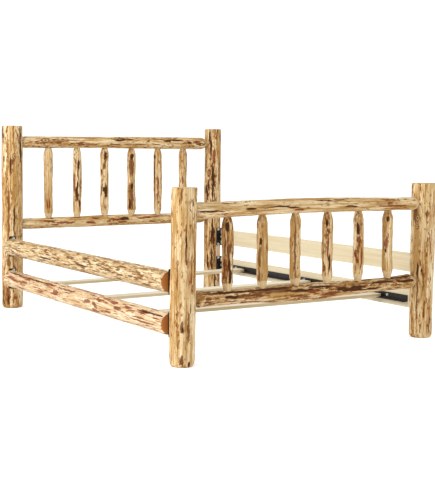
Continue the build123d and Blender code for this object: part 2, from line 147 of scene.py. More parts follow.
@dataclass(frozen=True)
class Coat:
    """A finish, named for the real surface."""

    name: str

    def surface(self, add: Adder) -> Surface:
        """The ground's colour, the layers over it by share and colour, and the shader's other inputs."""
        raise NotImplementedError

    def material(self) -> bpy.types.Material:
        """Lays the layers over the ground and fills in the shader.

        Returns:
            The material.
        """
        made = bpy.data.materials.new(self.name)
        made.use_nodes = True
        tree = made.node_tree
        colour, layers, inputs = self.surface(partial(add_node, tree))
        for share, shade in layers:
            colour = add_node(tree, "Mix", {0: share, 6: linear(colour), 7: linear(shade)}, COLOURS).outputs[2]
        plug(tree, tree.nodes["Principled BSDF"], {"Base Color": colour, **inputs})
        return made


@dataclass(frozen=True)
class PeeledPine(Coat):
    """Lodgepole pine peeled with a drawknife and clear coated.

    The knife leaves long narrow facets of pale wood. Between them strips of inner bark stay on, from
    tan through red-brown to nearly black. Some shoulders are turned to clean wood. In life the fine
    grain is 1 to 2 mm and the fibres of bark 2 to 4 mm wide: all are drawn wider, so that they show.
    """

    name: str = "peeled_lodgepole_pine"
    pale: str = "#D1BF9A"
    honey: str = "#BFA274"
    amber: str = "#A07C48"
    tan_bark: str = "#8C5E30"
    brown_bark: str = "#603616"
    red_bark: str = "#6E2A08"
    dark_bark: str = "#3C200A"
    turned: str = "#C8B490"
    sway_mm: tuple[float, float] = (45, 210)         # each pattern's width and length along the grain
    band_mm: tuple[float, float] = (34, 380)
    cluster_mm: tuple[float, float] = (28, 130)
    facet_mm: tuple[float, float] = (15, 150)
    streak_mm: tuple[float, float] = (11, 110)
    shred_mm: tuple[float, float] = (7, 34)
    line_mm: tuple[float, float] = (9, 150)
    grain_mm: tuple[float, float] = (4.5, 90)
    fleck_mm: tuple[float, float] = (10, 32)
    swing: tuple[float, float, float] = (0.014, 0.014, 0.0)     # how far the grain wanders, in metres
    flecked: float = 0.0         # more or fewer flecks, from about -0.05 to 0.1
    patchy: float = 0.9          # how strongly broad bands of pale and honey wood and clusters of flecks show

    def surface(self, add: Adder) -> Surface:
        """Reads the log's own coordinates, bark, streaks and knots from its mesh and lays them on bare wood.

        Args:
            add: Adds a node to the finish's tree.

        Returns:
            The bare wood, the bark and other layers over it, and the satin coat with its relief.
        """
        log, peel, stain, knot, tone_shift, shoulder = (
            add("Attribute", (), {"attribute_name": name})
            for name in ("heartwise", "peel", "stain", "knot", "tone", "shoulder"))
        kept, redness, darkness = add("SeparateXYZ", (peel.outputs["Vector"],)).outputs

        # The grain wanders a few millimetres on its way along the log, and takes every pattern with it.
        lengthwise = log.outputs["Vector"]
        place = add("Mapping", {"Vector": lengthwise, "Scale": per_metre(*self.sway_mm)})
        sway = add("TexNoise", {"Vector": place, "Scale": 1.0, "Detail": 2.0})
        swayed = add("VectorMath", (sway.outputs["Color"], self.swing, lengthwise), TIMES_PLUS)
        patterns = []
        for size, detail, rough in ((self.band_mm, 3.0, 0.5), (self.streak_mm, 5.0, 0.62), (self.shred_mm, 3.0, 0.6),
                                    (self.fleck_mm, 4.0, 0.66), (self.cluster_mm, 2.0, 0.5), (self.line_mm, 2.0, 0.5),
                                    (self.grain_mm, 2.0, 0.5)):
            place = add("Mapping", {"Vector": swayed, "Scale": per_metre(*size)})
            patterns.append(add("TexNoise", {"Vector": place, "Scale": 1.0, "Detail": detail, "Roughness": rough,
                                             "Distortion": 0.1}))
        bands, streaks, shreds, flecks, clusters, lines, grain = patterns
        place = add("Mapping", {"Vector": swayed, "Scale": per_metre(*self.facet_mm)})
        facets = add("TexVoronoi", {"Vector": place, "Scale": 1.0})
        sunk, tint, _ = add("SeparateColor", (facets.outputs["Color"],)).outputs

        # Bare wood: broad bands of pale and honey, a shade for each facet, then lines and fine grain.
        broad, clustered = (add("Math", (noise, self.patchy, 0.5 * (1 - self.patchy)), TIMES_PLUS)
                            for noise in (bands, clusters))
        tone = add("Math", (tint, 0.2, broad), TIMES_PLUS)
        tone = add("Math", (lines, 0.75, add("Math", (tone, 0.1), MINUS)), TIMES_PLUS)
        tone = add("Math", (tone, tone_shift.outputs["Fac"]), {"operation": "ADD"})
        wood = set_ramp(add("ValToRGB", (tone,)), (0.68, self.pale, 1), (0.86, self.honey, 1), (1.03, self.amber, 1))
        ground = add("Mix", {0: add("MapRange", (grain, 0.48, 0.66, 0.0, 0.6)), 6: wood, 7: linear(self.honey)},
                     COLOURS | {"blend_type": "MULTIPLY"}).outputs[2]

        # Inner bark: where streaks, shreds and the facets' depth add up past what this log keeps.
        depth = add("Math", (shreds, 0.4, add("Math", (sunk, 0.2, streaks), TIMES_PLUS)), TIMES_PLUS)
        over = add("Math", (depth, add("Math", (kept, -0.42, 1.0), TIMES_PLUS)), MINUS)
        bark = add("MapRange", (over, -0.02, 0.05, 0.0, 0.85), SMOOTH)
        thick = add("Math", (add("MapRange", (over, 0.06, 0.13, 0.0, 1.0), SMOOTH), darkness), TIMES)
        bark_colour = add("Mix", {0: redness, 6: linear(self.tan_bark), 7: linear(self.red_bark)}, COLOURS).outputs[2]
        layers = [(bark, bark_colour), (thick, self.dark_bark)]

        # Flecks: short fibres of inner bark in clusters, brown with dark cores.
        fleck = add("Math", (kept, 0.25, add("Math", (clustered, 0.55, flecks), TIMES_PLUS)), TIMES_PLUS)
        for low, high, shade, strength in ((0.855, 0.895, self.tan_bark, 0.75), (0.915, 0.955, self.brown_bark, 0.9)):
            layers.append((add("MapRange", (fleck, low - self.flecked, high - self.flecked, 0.0, strength), SMOOTH),
                           shade))

        # Placed streaks, ragged along the grain: each channel of the attribute is one kind.
        ragged = add("Math", (shreds, 0.5), MINUS)
        tan, brown, red = add("SeparateColor", (stain.outputs["Color"],)).outputs
        dark = stain.outputs["Alpha"]
        for share, shade, low, high, strength in (
                (tan, self.amber, 0.1, 0.9, 0.38), (brown, self.brown_bark, 0.32, 0.62, 0.85),
                (red, self.red_bark, 0.32, 0.62, 0.85), (dark, self.brown_bark, 0.2, 0.4, 0.8),
                (dark, self.dark_bark, 0.38, 0.62, 0.95)):
            torn = add("Math", (ragged, 1.7, share), TIMES_PLUS)
            layers.append((add("MapRange", (torn, low, high, 0.0, strength), SMOOTH), shade))

        # Knots: a dark eye and rim on brown wood. The attribute holds the way to the nearest one.
        off = add("VectorMath", (knot.outputs["Vector"],), LENGTH).outputs["Value"]
        off = add("Math", (add("Math", (ragged, 0.8, off), TIMES_PLUS), 0.5), TIMES)
        rings = set_ramp(add("ValToRGB", (off,)), (0.0, self.dark_bark, 0.95), (0.13, "#5E3018", 0.9),
                         (0.30, self.honey, 0.8), (0.42, self.dark_bark, 0.9), (0.52, self.red_bark, 0.6),
                         (0.75, self.amber, 0.0))
        layers.append((rings.outputs["Alpha"], rings.outputs["Color"]))

        # Turned shoulders: clean pale wood up to a ragged edge.
        edge = add("Math", (ragged, 0.03, shoulder.outputs["Fac"]), TIMES_PLUS)
        turned = add("Mix", {0: lines, 6: linear(self.turned), 7: linear(self.honey)}, COLOURS).outputs[2]
        layers.append((add("MapRange", (edge, -0.003, 0.005, 0.0, 0.75), SMOOTH), turned))

        # Bark is dull and stands 0.6 mm proud, facets are 1 mm deep, and the grain is just felt.
        relief = add("Math", (bark, 0.6, facets.outputs["Distance"]), TIMES_PLUS)
        for source, share in ((shreds, 0.5), (lines, 0.6), (grain, 0.25)):
            relief = add("Math", (source, share, relief), TIMES_PLUS)
        return ground, layers, {
            "Roughness": add("MapRange", (bark, 0.0, 1.0, 0.52, 0.75)), "IOR": 1.5, "Specular IOR Level": 0.08,
            "Normal": add("Bump", {"Height": relief, "Distance": 0.0016, "Strength": 0.7})}


@dataclass(frozen=True)
class EndGrain(Coat):
    """Pine sawn across: yearly rings and drying cracks from the heart, sealed or stained."""

    name: str = "sawn_end_grain"
    early: str = "#C4A472"
    late: str = "#9C7444"
    rim: str = "#8A6438"
    crack: str = "#3C2414"
    ring_mm: float = 4.5         # real rings are 1 to 3 mm, drawn wider to show
    rim_mm: tuple[float, float] = (40.0, 56.0)
    wobble: tuple[float, float, float] = (0.01, 0.01, 0.0)

    def surface(self, add: Adder) -> Surface:
        """Draws rings, a darker rim and cracks about the log's heart.

        Args:
            add: Adds a node to the finish's tree.

        Returns:
            The early wood, the late wood, rim and cracks over it, and the dull sawn surface.
        """
        log = add("Attribute", (), {"attribute_name": "heartwise"}).outputs["Vector"]
        uneven = add("TexNoise", {"Vector": log, "Scale": 18.0, "Detail": 2.0})
        place = add("VectorMath", (uneven.outputs["Color"], self.wobble, log), TIMES_PLUS)
        flat = add("VectorMath", (place, (1, 1, 0)), TIMES)
        out = add("VectorMath", (flat,), LENGTH).outputs["Value"]
        turns = add("Math", (out, 2 * math.pi * 1000 / self.ring_mm), TIMES)
        rings = add("MapRange", (add("Math", (turns,), {"operation": "SINE"}), -1.0, 1.0, 0.1, 0.8))
        outer = add("MapRange", (out, self.rim_mm[0] / 1000, self.rim_mm[1] / 1000, 0.0, 0.8), SMOOTH)
        bearing = add("VectorMath", (flat,), {"operation": "NORMALIZE"})
        split = add("TexNoise", {"Vector": bearing, "Scale": 7.0, "Detail": 3.0})
        cracked = add("MapRange", (split, 0.66, 0.69, 0.0, 0.8), SMOOTH)
        return self.early, [(rings, self.late), (outer, self.rim), (cracked, self.crack)], {
            "Roughness": 0.62, "Normal": add("Bump", {"Height": rings, "Distance": 0.0003, "Strength": 0.5})}


@dataclass(frozen=True)
class SawnPine(Coat):
    """Pine sawn along the grain and planed: straight grain with a few soft brown lines."""

    name: str = "sawn_pine"
    light: str = "#C6BA9E"
    dark: str = "#BEAE8C"
    line: str = "#A88C60"
    turn: tuple[float, float, float] = (0.0, 90.0, 0.0)     # brings the board's length to the pattern's Z, in degrees
    sway_mm: tuple[float, float] = (80, 500)
    band_mm: tuple[float, float] = (16, 900)
    grain_mm: tuple[float, float] = (2.2, 160)
    swing: tuple[float, float, float] = (0.03, 0.03, 0.0)
    lined: float = 0.15

    def surface(self, add: Adder) -> Surface:
        """Draws bands and lines of grain on Object coordinates.

        Args:
            add: Adds a node to the finish's tree.

        Returns:
            The light wood, the dark bands and lines over it, and the planed surface.
        """
        spot = add("TexCoord").outputs["Object"]
        turned = add("Mapping", {"Vector": spot, "Rotation": tuple(math.radians(angle) for angle in self.turn)})
        place = add("Mapping", {"Vector": turned, "Scale": per_metre(*self.sway_mm)})
        sway = add("TexNoise", {"Vector": place, "Scale": 1.0, "Detail": 1.0})
        swayed = add("VectorMath", (sway.outputs["Color"], self.swing, turned), TIMES_PLUS)
        bands, grain = (
            add("TexNoise", {"Vector": add("Mapping", {"Vector": swayed, "Scale": per_metre(*size)}),
                             "Scale": 1.0, "Detail": 2.0}) for size in (self.band_mm, self.grain_mm))
        return self.light, [(add("MapRange", (bands, 0.35, 0.7, 0.0, 1.0)), self.dark),
                            (add("MapRange", (grain, 0.55, 0.75, 0.0, self.lined)), self.line)], {
            "Roughness": 0.55, "Specular IOR Level": 0.25,
            "Normal": add("Bump", {"Height": grain, "Distance": 0.0004, "Strength": 0.5})}


@dataclass(frozen=True)
class BlackPaint(Coat):
    """Black enamel on hot-rolled angle iron: slightly orange-peeled, with mill marks and bare spots."""

    name: str = "black_painted_angle_iron"
    paint: str = "#17120F"
    worn: str = "#3A3630"
    peels_per_metre: float = 260.0           # real orange peel is about 1 mm, drawn coarser to show
    rubs_per_metre: float = 38.0

    def surface(self, add: Adder) -> Surface:
        """Draws orange peel and rubbed spots on Object coordinates.

        Args:
            add: Adds a node to the finish's tree.

        Returns:
            The paint, its worn spots, and its gloss and peel.
        """
        spot = add("TexCoord").outputs["Object"]
        peel = add("TexNoise", {"Vector": spot, "Scale": self.peels_per_metre, "Detail": 2.0})
        rub = add("TexNoise", {"Vector": spot, "Scale": self.rubs_per_metre, "Detail": 6.0, "Roughness": 0.7})
        return self.paint, [(add("MapRange", (rub, 0.62, 0.72, 0.0, 0.6), SMOOTH), self.worn)], {
            "Roughness": add("MapRange", (peel, 0.3, 0.7, 0.35, 0.5)), "Specular IOR Level": 0.3,
            "Normal": add("Bump", {"Height": peel, "Distance": 0.0003, "Strength": 0.4})}


@dataclass(frozen=True)
class ZincPlate(Coat):
    """Bright zinc on forged lag bolts: a cold grey metal with faint spangle."""

    name: str = "zinc_plated_steel"
    bright: str = "#D2D2CE"
    dull: str = "#9C9D99"
    spangles_per_metre: float = 400.0        # real spangle is finer, drawn coarser to show

    def surface(self, add: Adder) -> Surface:
        """Draws bright and dull spangle on Object coordinates.

        Args:
            add: Adds a node to the finish's tree.

        Returns:
            The bright zinc, the dull spangle over it, and the metal's gloss.
        """
        spot = add("TexCoord").outputs["Object"]
        spangle = add("TexNoise", {"Vector": spot, "Scale": self.spangles_per_metre, "Detail": 3.0})
        return self.bright, [(spangle, self.dull)], {
            "Metallic": 1.0, "Roughness": add("MapRange", (spangle, 0.3, 0.7, 0.42, 0.55))}


@dataclass(frozen=True)
class PaleFloor(Coat):
    """The studio's matt white floor, a little lit from within so that it stays white."""

    name: str = "pale_floor"
    glow: float = 0.2

    def surface(self, add: Adder) -> Surface:
        """One plain colour, which needs no node of its own."""
        return (0.95, 0.95, 0.95, 1), [], {
            "Roughness": 0.8, "Emission Color": (1, 1, 1, 1), "Emission Strength": self.glow}


class Finish(Enum):
    """Every finish on the bed and under it."""

    PEELED = PeeledPine()
    FLECKED = PeeledPine(
        "peeled_pine_flecked", "#CEC2A2", "#C2AE88", "#AE946A", tan_bark="#8A5E30", brown_bark="#4E3016",
        facet_mm=(13, 70), streak_mm=(7.5, 88), shred_mm=(6, 36), fleck_mm=(7.5, 82), flecked=0.035, patchy=0.35)
    PATCHED = PeeledPine(
        "peeled_pine_patched", "#D2C4A6", "#C8B290", "#B2946C", tan_bark="#8A4A1E", brown_bark="#602608",
        facet_mm=(14, 80), streak_mm=(10, 105), shred_mm=(7, 42), fleck_mm=(10.5, 120), flecked=0.035, patchy=0.4)
    END_GRAIN = EndGrain()
    STAINED_END = EndGrain("stained_end_grain", "#B06C28", "#8E4E18", "#7A3E12", "#54260C")
    SAWN_FLAT = SawnPine("sawn_flat_pine", "#CBB08E", "#B08860", "#7A5430", (0, 0, 0), band_mm=(9, 120), lined=0.6)
    SAWN_FACE = SawnPine("sawn_face_pine", turn=(90, 0, 0))
    SLAT = SawnPine("planed_slat_pine", "#D4CCB8", "#C9BDA2", "#AE9C7C")
    # The slats' upright sides and ends: a darker copy of the slat's pine, painted shade so that they read darker than
    # the lit top.
    SLAT_EDGE = SawnPine("slat_sides_painted_shade", "#BCAC8C", "#AA9872", "#8A7450")
    PAINT = BlackPaint()
    ZINC = ZincPlate()
    FLOOR = PaleFloor()


Finishes = dict[Finish, bpy.types.Material]


# ---- Work in edit mode ---------------------------------------------------------------------------
@contextmanager
def editing() -> Iterator[None]:
    """Edit mode for the active object, and back to object mode after it."""
    bpy.ops.object.mode_set(mode="EDIT")
    yield
    bpy.ops.object.mode_set(mode="OBJECT")


def pick(piece: bpy.types.Object, kind: str, wanted: Callable[[Any], bool], switch: bool = True) -> None:
    """Selects some of the active object's vertices, edges or faces for the next edit.

    Args:
        piece: The active object.
        kind: "VERT", "EDGE" or "FACE".
        wanted: Tells whether one of them is to be selected.
        switch: Whether the select mode changes to that kind.
    """
    with editing():
        if switch:
            bpy.ops.mesh.select_mode(type=kind)
        bpy.ops.mesh.select_all(action="DESELECT")
    for part in {"VERT": piece.data.vertices, "EDGE": piece.data.edges, "FACE": piece.data.polygons}[kind]:
        part.select = wanted(part)


def face_outwards() -> None:
    """Turns every face of the object in edit mode outwards."""
    bpy.ops.mesh.select_all(action="SELECT")
    bpy.ops.mesh.normals_make_consistent(inside=False)


def draw_up(outline: list[tuple[float, float]], heart: Callable[[float], float]) -> None:
    """Extrudes the selected disc through the rings of an outline.

    Args:
        outline: Height and radius of each ring, the first that of the disc itself.
        heart: How far the middle strays along X at a height.
    """
    for (low, small), (high, large) in zip(outline, outline[1:]):
        shift = (heart(high) - heart(low), 0, high - low)
        bpy.ops.mesh.extrude_region_move(TRANSFORM_OT_translate={"value": shift})
        bpy.ops.transform.resize(value=(large / small, large / small, 1), center_override=(heart(high), 0, high))


def copy_of(piece: bpy.types.Object) -> bpy.types.Object:
    """A copy with a mesh of its own, linked to the scene.

    Args:
        piece: What is copied.

    Returns:
        The copy.
    """
    copy = piece.copy()
    copy.data = piece.data.copy()
    bpy.context.scene.collection.objects.link(copy)
    return copy


def select(*pieces: bpy.types.Object) -> None:
    """Selects these objects alone, the first of them active.

    Args:
        pieces: The objects.
    """
    bpy.ops.object.select_all(action="DESELECT")
    for piece in pieces:
        piece.select_set(True)
    bpy.context.view_layer.objects.active = pieces[0]


def seat(piece: bpy.types.Object, body: str, node: str, slot: str) -> None:
    """Settles a finished piece's place in its mesh, parents it to its body, hides the CAD part it replaces and reports
    it.

    Args:
        piece: The piece.
        body: The body it rides on.
        node: The CAD node it replaces.
        slot: Its material slot. Not used.
    """
    select(piece)
    bpy.ops.object.transform_apply(location=True, rotation=True, scale=True)
    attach(piece, body)
    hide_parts(node)
    LOG.info("%s: %d faces", piece.name, len(piece.data.polygons))


# ---- Logs ----------------------------------------------------------------------------------------
class Run(Enum):
    """Which way a log lies: the world directions of its own X, Y and length."""

    UPRIGHT = ((1, 0, 0), (0, 1, 0), (0, 0, 1))
    ACROSS = ((0, 0, 1), (0, -1, 0), (1, 0, 0))
    ALONG = ((0, 0, 1), (1, 0, 0), (0, 1, 0))


class Stain(Enum):
    """The colour of a streak, by the channel of the mesh's attribute that holds it."""

    TAN = 0
    BROWN = 1
    RED = 2
    DARK = 3

    def at(self, *places: tuple[float, float, float, float]) -> "tuple[Streak, ...]":
        """Streaks of this colour, by place along in mm and around in degrees, length and width in mm."""
        return tuple(Streak(self, x / 1000, around, long / 1000, wide / 1000) for x, around, long, wide in places)


@dataclass(frozen=True)
class Streak:
    """A strip of inner bark or stained wood, in metres from the butt and degrees from the log's own X."""

    stain: Stain
    along: float
    around: float
    length: float
    width: float

    def share(self, across: np.ndarray, down: np.ndarray, stray: float = 0.0014, period: float = 0.075) -> np.ndarray:
        """How strongly the streak shows at each vertex of its log.

        Args:
            across: Metres round the log from its middle to each vertex.
            down: Metres along the log from its middle.
            stray: How far its line wavers to each side.
            period: The length of one waver.

        Returns:
            A little over 1 on its line, falling to 0 past its sides and ends.
        """
        across = across + stray * np.sin(2 * math.pi * down / period + 40 * self.along)
        return 1.15 * np.exp(-((1.5 * across / self.width) ** 2) - np.abs(1.9 * down / self.length) ** 3)


@dataclass(frozen=True)
class Knot:
    """A branch's stub: where it is on the log, its radius and how far it stands up."""

    along: float                 # metres from the butt
    around: float                # degrees from the log's own X
    radius: float = 0.006
    rise: float = 0.002
    longer: float = 1.8          # how many times longer along the log than around it


@dataclass(frozen=True)
class End:
    """How a log ends: sawn square with an eased edge, or drawn down to a tenon."""

    chamfer: float = 0.003
    tenon: float = 0.0           # the tenon's radius, none if sawn
    length: float = 0.0          # the tenon's length
    shoulder: float = 0.0        # the shoulder's length
    fullness: float = 0.0        # how far the shoulder stands out of a cone
    clean: float = 0.0           # how much of the shoulder, from the tenon, is turned to pale wood
    tip_chamfer: float = 0.002
    blend: float = 0.003         # the tenon's root and the shoulder's brow are rounded over this much

    def stations(self, widest: float) -> list[tuple[float, float]]:
        """The outline from the tip inwards.

        Args:
            widest: The log's radius where the end's shaping stops.

        Returns:
            Pairs of depth from the tip and radius.
        """
        if not self.tenon:
            return [(0.0, widest - self.chamfer), (self.chamfer, widest)]
        steps = [(0.0, self.tenon - self.tip_chamfer), (self.tip_chamfer, self.tenon),
                 (self.length - self.blend, self.tenon)]
        for share in (0.03, 0.25, 0.5, 0.75, 0.93):
            swell = share + self.fullness * share * (1 - share)
            steps.append((self.length + share * self.shoulder, self.tenon + (widest - self.tenon) * swell))
        return [*steps, (self.length + self.shoulder + self.blend, widest)]

    @property
    def reach(self) -> float:
        """How much of the log the end takes."""
        return self.length + self.shoulder if self.tenon else self.chamfer


@dataclass
class Log:
    """One peeled log, modelled as a drawn-out disc that is shaped, rounded, faceted and laid in place."""

    node: str
    start: tuple[float, float, float]
    run: Run
    length: float
    butt: float
    tip: float
    near: End
    far: End
    bow: float = 0.0
    lean: tuple[float, float] = (0.0, 0.0)
    swell: float = 0.0008
    phase: float = 0.0
    sides: int = 24
    spacing: float = 0.045
    bumps: float = 0.0007
    facet: float = 0.03
    facet_depth: float = 0.0012
    wave: float = 0.0025         # depth of the slow swellings, and how much longer than wide they are
    wave_stretch: float = 5.0
    trim: float = 0.0012         # drawn in by this much, so that the bumps stay inside the log's size
    seed: int = 1
    bark: float = 0.08
    red: float = 0.3
    dark: float = 0.6
    tone: float = 0.0            # darker above 0, paler below
    knots: tuple[Knot, ...] = ()
    marks: tuple[Streak, ...] = ()
    finish: Finish = Finish.PEELED
    slot: str = "peeled_log_pine"

    def radius(self, z: float) -> float:
        """The log's radius at a distance from the butt."""
        share = z / self.length
        swelling = self.swell * math.sin(2 * math.pi * (1.6 * share + self.phase))
        return self.butt + (self.tip - self.butt) * share + swelling

    def heart(self, z: float) -> float:
        """How far the heart strays along the log's own X at a distance from the butt."""
        share = z / self.length
        return self.bow * math.sin(math.pi * share) ** 2 + self.lean[0] + (self.lean[1] - self.lean[0]) * share

    def outline(self) -> list[tuple[float, float]]:
        """Lays out the rings of the cage.

        Returns:
            The distance from the butt and the radius of each, from butt to tip.
        """
        low = self.near.stations(self.radius(self.near.reach) - self.trim)
        high = self.far.stations(self.radius(self.length - self.far.reach) - self.trim)
        start, stop = low[-1][0], self.length - high[-1][0]
        count = max(2, round((stop - start) / self.spacing))
        middle = [start + (stop - start) * i / count for i in range(1, count)]
        return (low + [(z, self.radius(z) - self.trim) for z in middle]
                + [(self.length - depth, radius) for depth, radius in reversed(high)])

    def model(self) -> bpy.types.Object:
        """Models the log along +Z.

        Returns:
            The log, still at the origin, with its ends, knots and facets.
        """
        outline = self.outline()
        grow = 3 / (2 + math.cos(2 * math.pi / self.sides))     # rounding draws a cage of this many sides in
        bpy.ops.object.select_all(action="DESELECT")
        bpy.ops.mesh.primitive_circle_add(vertices=self.sides, radius=outline[0][1] * grow, fill_type="NGON",
                                          location=(0, 0, 0))
        log = bpy.context.object
        log.name = self.node + "_log"
        with editing():
            bpy.ops.mesh.select_all(action="SELECT")
            bpy.ops.transform.translate(value=(self.heart(0), 0, 0))
            draw_up(outline, self.heart)
            face_outwards()
        self.hew(log)
        self.round_off(log)
        self.raise_knots(log)
        self.draw_facets(log)
        return log

    def hew(self, log: bpy.types.Object, margin: float = 0.01) -> None:
        """Pushes the cage's corners in and out by a little, all but the ends.

        Args:
            log: The cage.
            margin: How far past the ends' shaping it starts.
        """
        low, high = self.near.reach + margin, self.length - self.far.reach - margin
        pick(log, "VERT", lambda vertex: low < vertex.co.z < high, switch=False)
        with editing():
            bpy.ops.transform.vertex_random(offset=self.bumps, normal=1.0, seed=self.seed)

    def round_off(self, log: bpy.types.Object, flat: float = 0.0005) -> None:
        """Rounds the cage, its end discs kept flat by creases.

        Args:
            log: The cage.
            flat: What is this near to an end is its disc.
        """
        def on_disc(edge: bpy.types.MeshEdge) -> bool:
            """Whether an edge is all on one of the end discs."""
            ends = [log.data.vertices[i].co.z for i in edge.vertices]
            return max(ends) < flat or min(ends) > self.length - flat

        pick(log, "EDGE", on_disc)
        with editing():
            bpy.ops.transform.edge_crease(value=0.8)
        rounding = log.modifiers.new("rounding", "SUBSURF")
        rounding.levels = rounding.render_levels = 2
        bpy.ops.object.modifier_apply(modifier=rounding.name)

    def raise_knots(self, log: bpy.types.Object) -> None:
        """Pulls the wood up round each knot, and leaves a dimple in the middle.

        Args:
            log: The rounded log.
        """
        for knot in self.knots:
            angle = math.radians(knot.around)
            out = Vector((math.cos(angle), math.sin(angle), 0))
            spot = out * self.radius(knot.along) + Vector((self.heart(knot.along), 0, knot.along))
            nearest = min(log.data.vertices, key=lambda vertex: (vertex.co - spot).length_squared).index
            for rise, reach in ((knot.rise, knot.radius * 3.2), (-knot.rise * 0.45, knot.radius * 1.1)):
                pick(log, "VERT", lambda vertex: vertex.index == nearest)
                with editing():
                    bpy.ops.transform.translate(value=out * rise, use_proportional_edit=True,
                                                proportional_edit_falloff="SMOOTH", proportional_size=reach)

    def draw_facets(self, log: bpy.types.Object, disc: float = 0.0008, fade: float = 0.025) -> None:
        """Cuts the drawknife's long facets and the wood's slow swellings.

        Args:
            log: The log.
            disc: What is this near to an end is its disc, which stays flat.
            fade: The swellings grow from the ends' shaping over this much.
        """
        body = log.vertex_groups.new(name="body")
        middle = log.vertex_groups.new(name="middle")
        for vertex in log.data.vertices:
            z = vertex.co.z
            if min(z, self.length - z) > disc:
                body.add([vertex.index], 1.0, "REPLACE")
            inner = min(z - self.near.reach, self.length - self.far.reach - z)
            if inner > 0:
                middle.add([vertex.index], min(1.0, inner / fade), "REPLACE")
        for name, kind, size, group, strength, level, longer in (
                ("facets", "VORONOI", self.facet, body, self.facet_depth, 0.75, 7.0),
                ("swells", "CLOUDS", 0.05, middle, self.wave, 0.55, self.wave_stretch)):
            texture = bpy.data.textures.new(name, kind)
            texture.noise_scale = size
            stretch = bpy.data.objects.new("stretch", None)
            bpy.context.scene.collection.objects.link(stretch)
            stretch.scale = (1, 1, longer)
            stretch.location = (0.37 * self.seed, 0.11 * self.seed, 0.53 * self.seed)
            bpy.context.view_layer.update()
            carve = log.modifiers.new(name, "DISPLACE")
            carve.texture, carve.vertex_group = texture, group.name
            carve.texture_coords, carve.texture_coords_object = "OBJECT", stretch
            carve.strength, carve.mid_level = strength, level
            bpy.context.view_layer.objects.active = log
            bpy.ops.object.modifier_apply(modifier=carve.name)
            bpy.data.textures.remove(texture)
            bpy.data.objects.remove(stretch)
        log.vertex_groups.clear()

    def record_grain(self, log: bpy.types.Object) -> None:
        """Writes the log's own coordinates, bark, streaks, knots and shoulders to the mesh for its finish.

        Args:
            log: The finished mesh, still along +Z at the origin.
        """
        count = len(log.data.vertices)
        spots = np.zeros(count * 3)
        log.data.vertices.foreach_get("co", spots)
        spots = spots.reshape(-1, 3)
        height = spots[:, 2]
        hearts = np.array([self.heart(z) for z in np.clip(height, 0, self.length)])
        own = spots.copy()
        own[:, 0] -= hearts
        own[:, 2] += 3.7 * self.seed
        angle = np.degrees(np.arctan2(spots[:, 1], spots[:, 0] - hearts))
        mean = (self.butt + self.tip) / 2

        def away(along: float, around: float) -> tuple[np.ndarray, np.ndarray]:
            """Metres round and along the log from a place on it to each vertex."""
            turned = (angle - around + 180) % 360 - 180
            return np.radians(turned) * mean, height - along

        stain = np.zeros((count, 4))
        for mark in self.marks:
            channel = mark.stain.value
            share = mark.share(*away(mark.along, mark.around))
            stain[:, channel] = np.maximum(stain[:, channel], share)
        nearest = np.full((count, 3), 9.0)
        for knot in self.knots:
            across, down = away(knot.along, knot.around)
            way = np.stack([across / knot.radius, down / knot.radius / knot.longer, np.zeros(count)], 1)
            closer = (way ** 2).sum(1) < (nearest ** 2).sum(1)
            nearest[closer] = way[closer]
        inside = np.full(count, -0.1)
        for end, depth in ((self.near, height), (self.far, self.length - height)):
            if end.clean:
                inside = np.maximum(inside, end.length + end.shoulder * end.clean - depth)
        peel = np.tile([self.bark, self.red, self.dark], (count, 1))
        for name, kind, field, values in (
                ("heartwise", "FLOAT_VECTOR", "vector", own), ("peel", "FLOAT_VECTOR", "vector", peel),
                ("knot", "FLOAT_VECTOR", "vector", nearest), ("stain", "FLOAT_COLOR", "color", stain),
                ("shoulder", "FLOAT", "value", inside), ("tone", "FLOAT", "value", np.full(count, self.tone))):
            written = log.data.attributes.new(name, kind, "POINT")
            written.data.foreach_set(field, values.astype(np.float32).ravel())

    def coats(self) -> tuple[Finish, ...]:
        """Its finishes: the round side's and the sawn ends'."""
        return self.finish, Finish.END_GRAIN

    def coat_of(self, face: bpy.types.MeshPolygon) -> int:
        """Which of its finishes a face has."""
        at_end = min(face.center.z, self.length - face.center.z) < 0.0006
        return 1 if at_end and abs(face.normal.z) > 0.9 else 0

    def shape(self, log: bpy.types.Object) -> None:
        """Further cuts that a kind of log has. A plain log has none."""

    def make(self, finishes: Finishes, crisp: float = 38) -> None:
        """Models, dresses and lays the log, and seats it on the bed.

        Args:
            finishes: The bed's materials.
            crisp: Edges past this angle in degrees stay crisp.
        """
        log = self.model()
        self.shape(log)
        self.record_grain(log)
        for finish in self.coats():
            log.data.materials.append(finishes[finish])
        for face in log.data.polygons:
            face.material_index = self.coat_of(face)
        select(log)
        bpy.ops.object.shade_smooth_by_angle(angle=math.radians(crisp))
        axes = Matrix([Vector(axis) for axis in self.run.value]).transposed()
        log.matrix_world = Matrix.Translation(self.start) @ axes.to_4x4()
        seat(log, BED, self.node, self.slot)


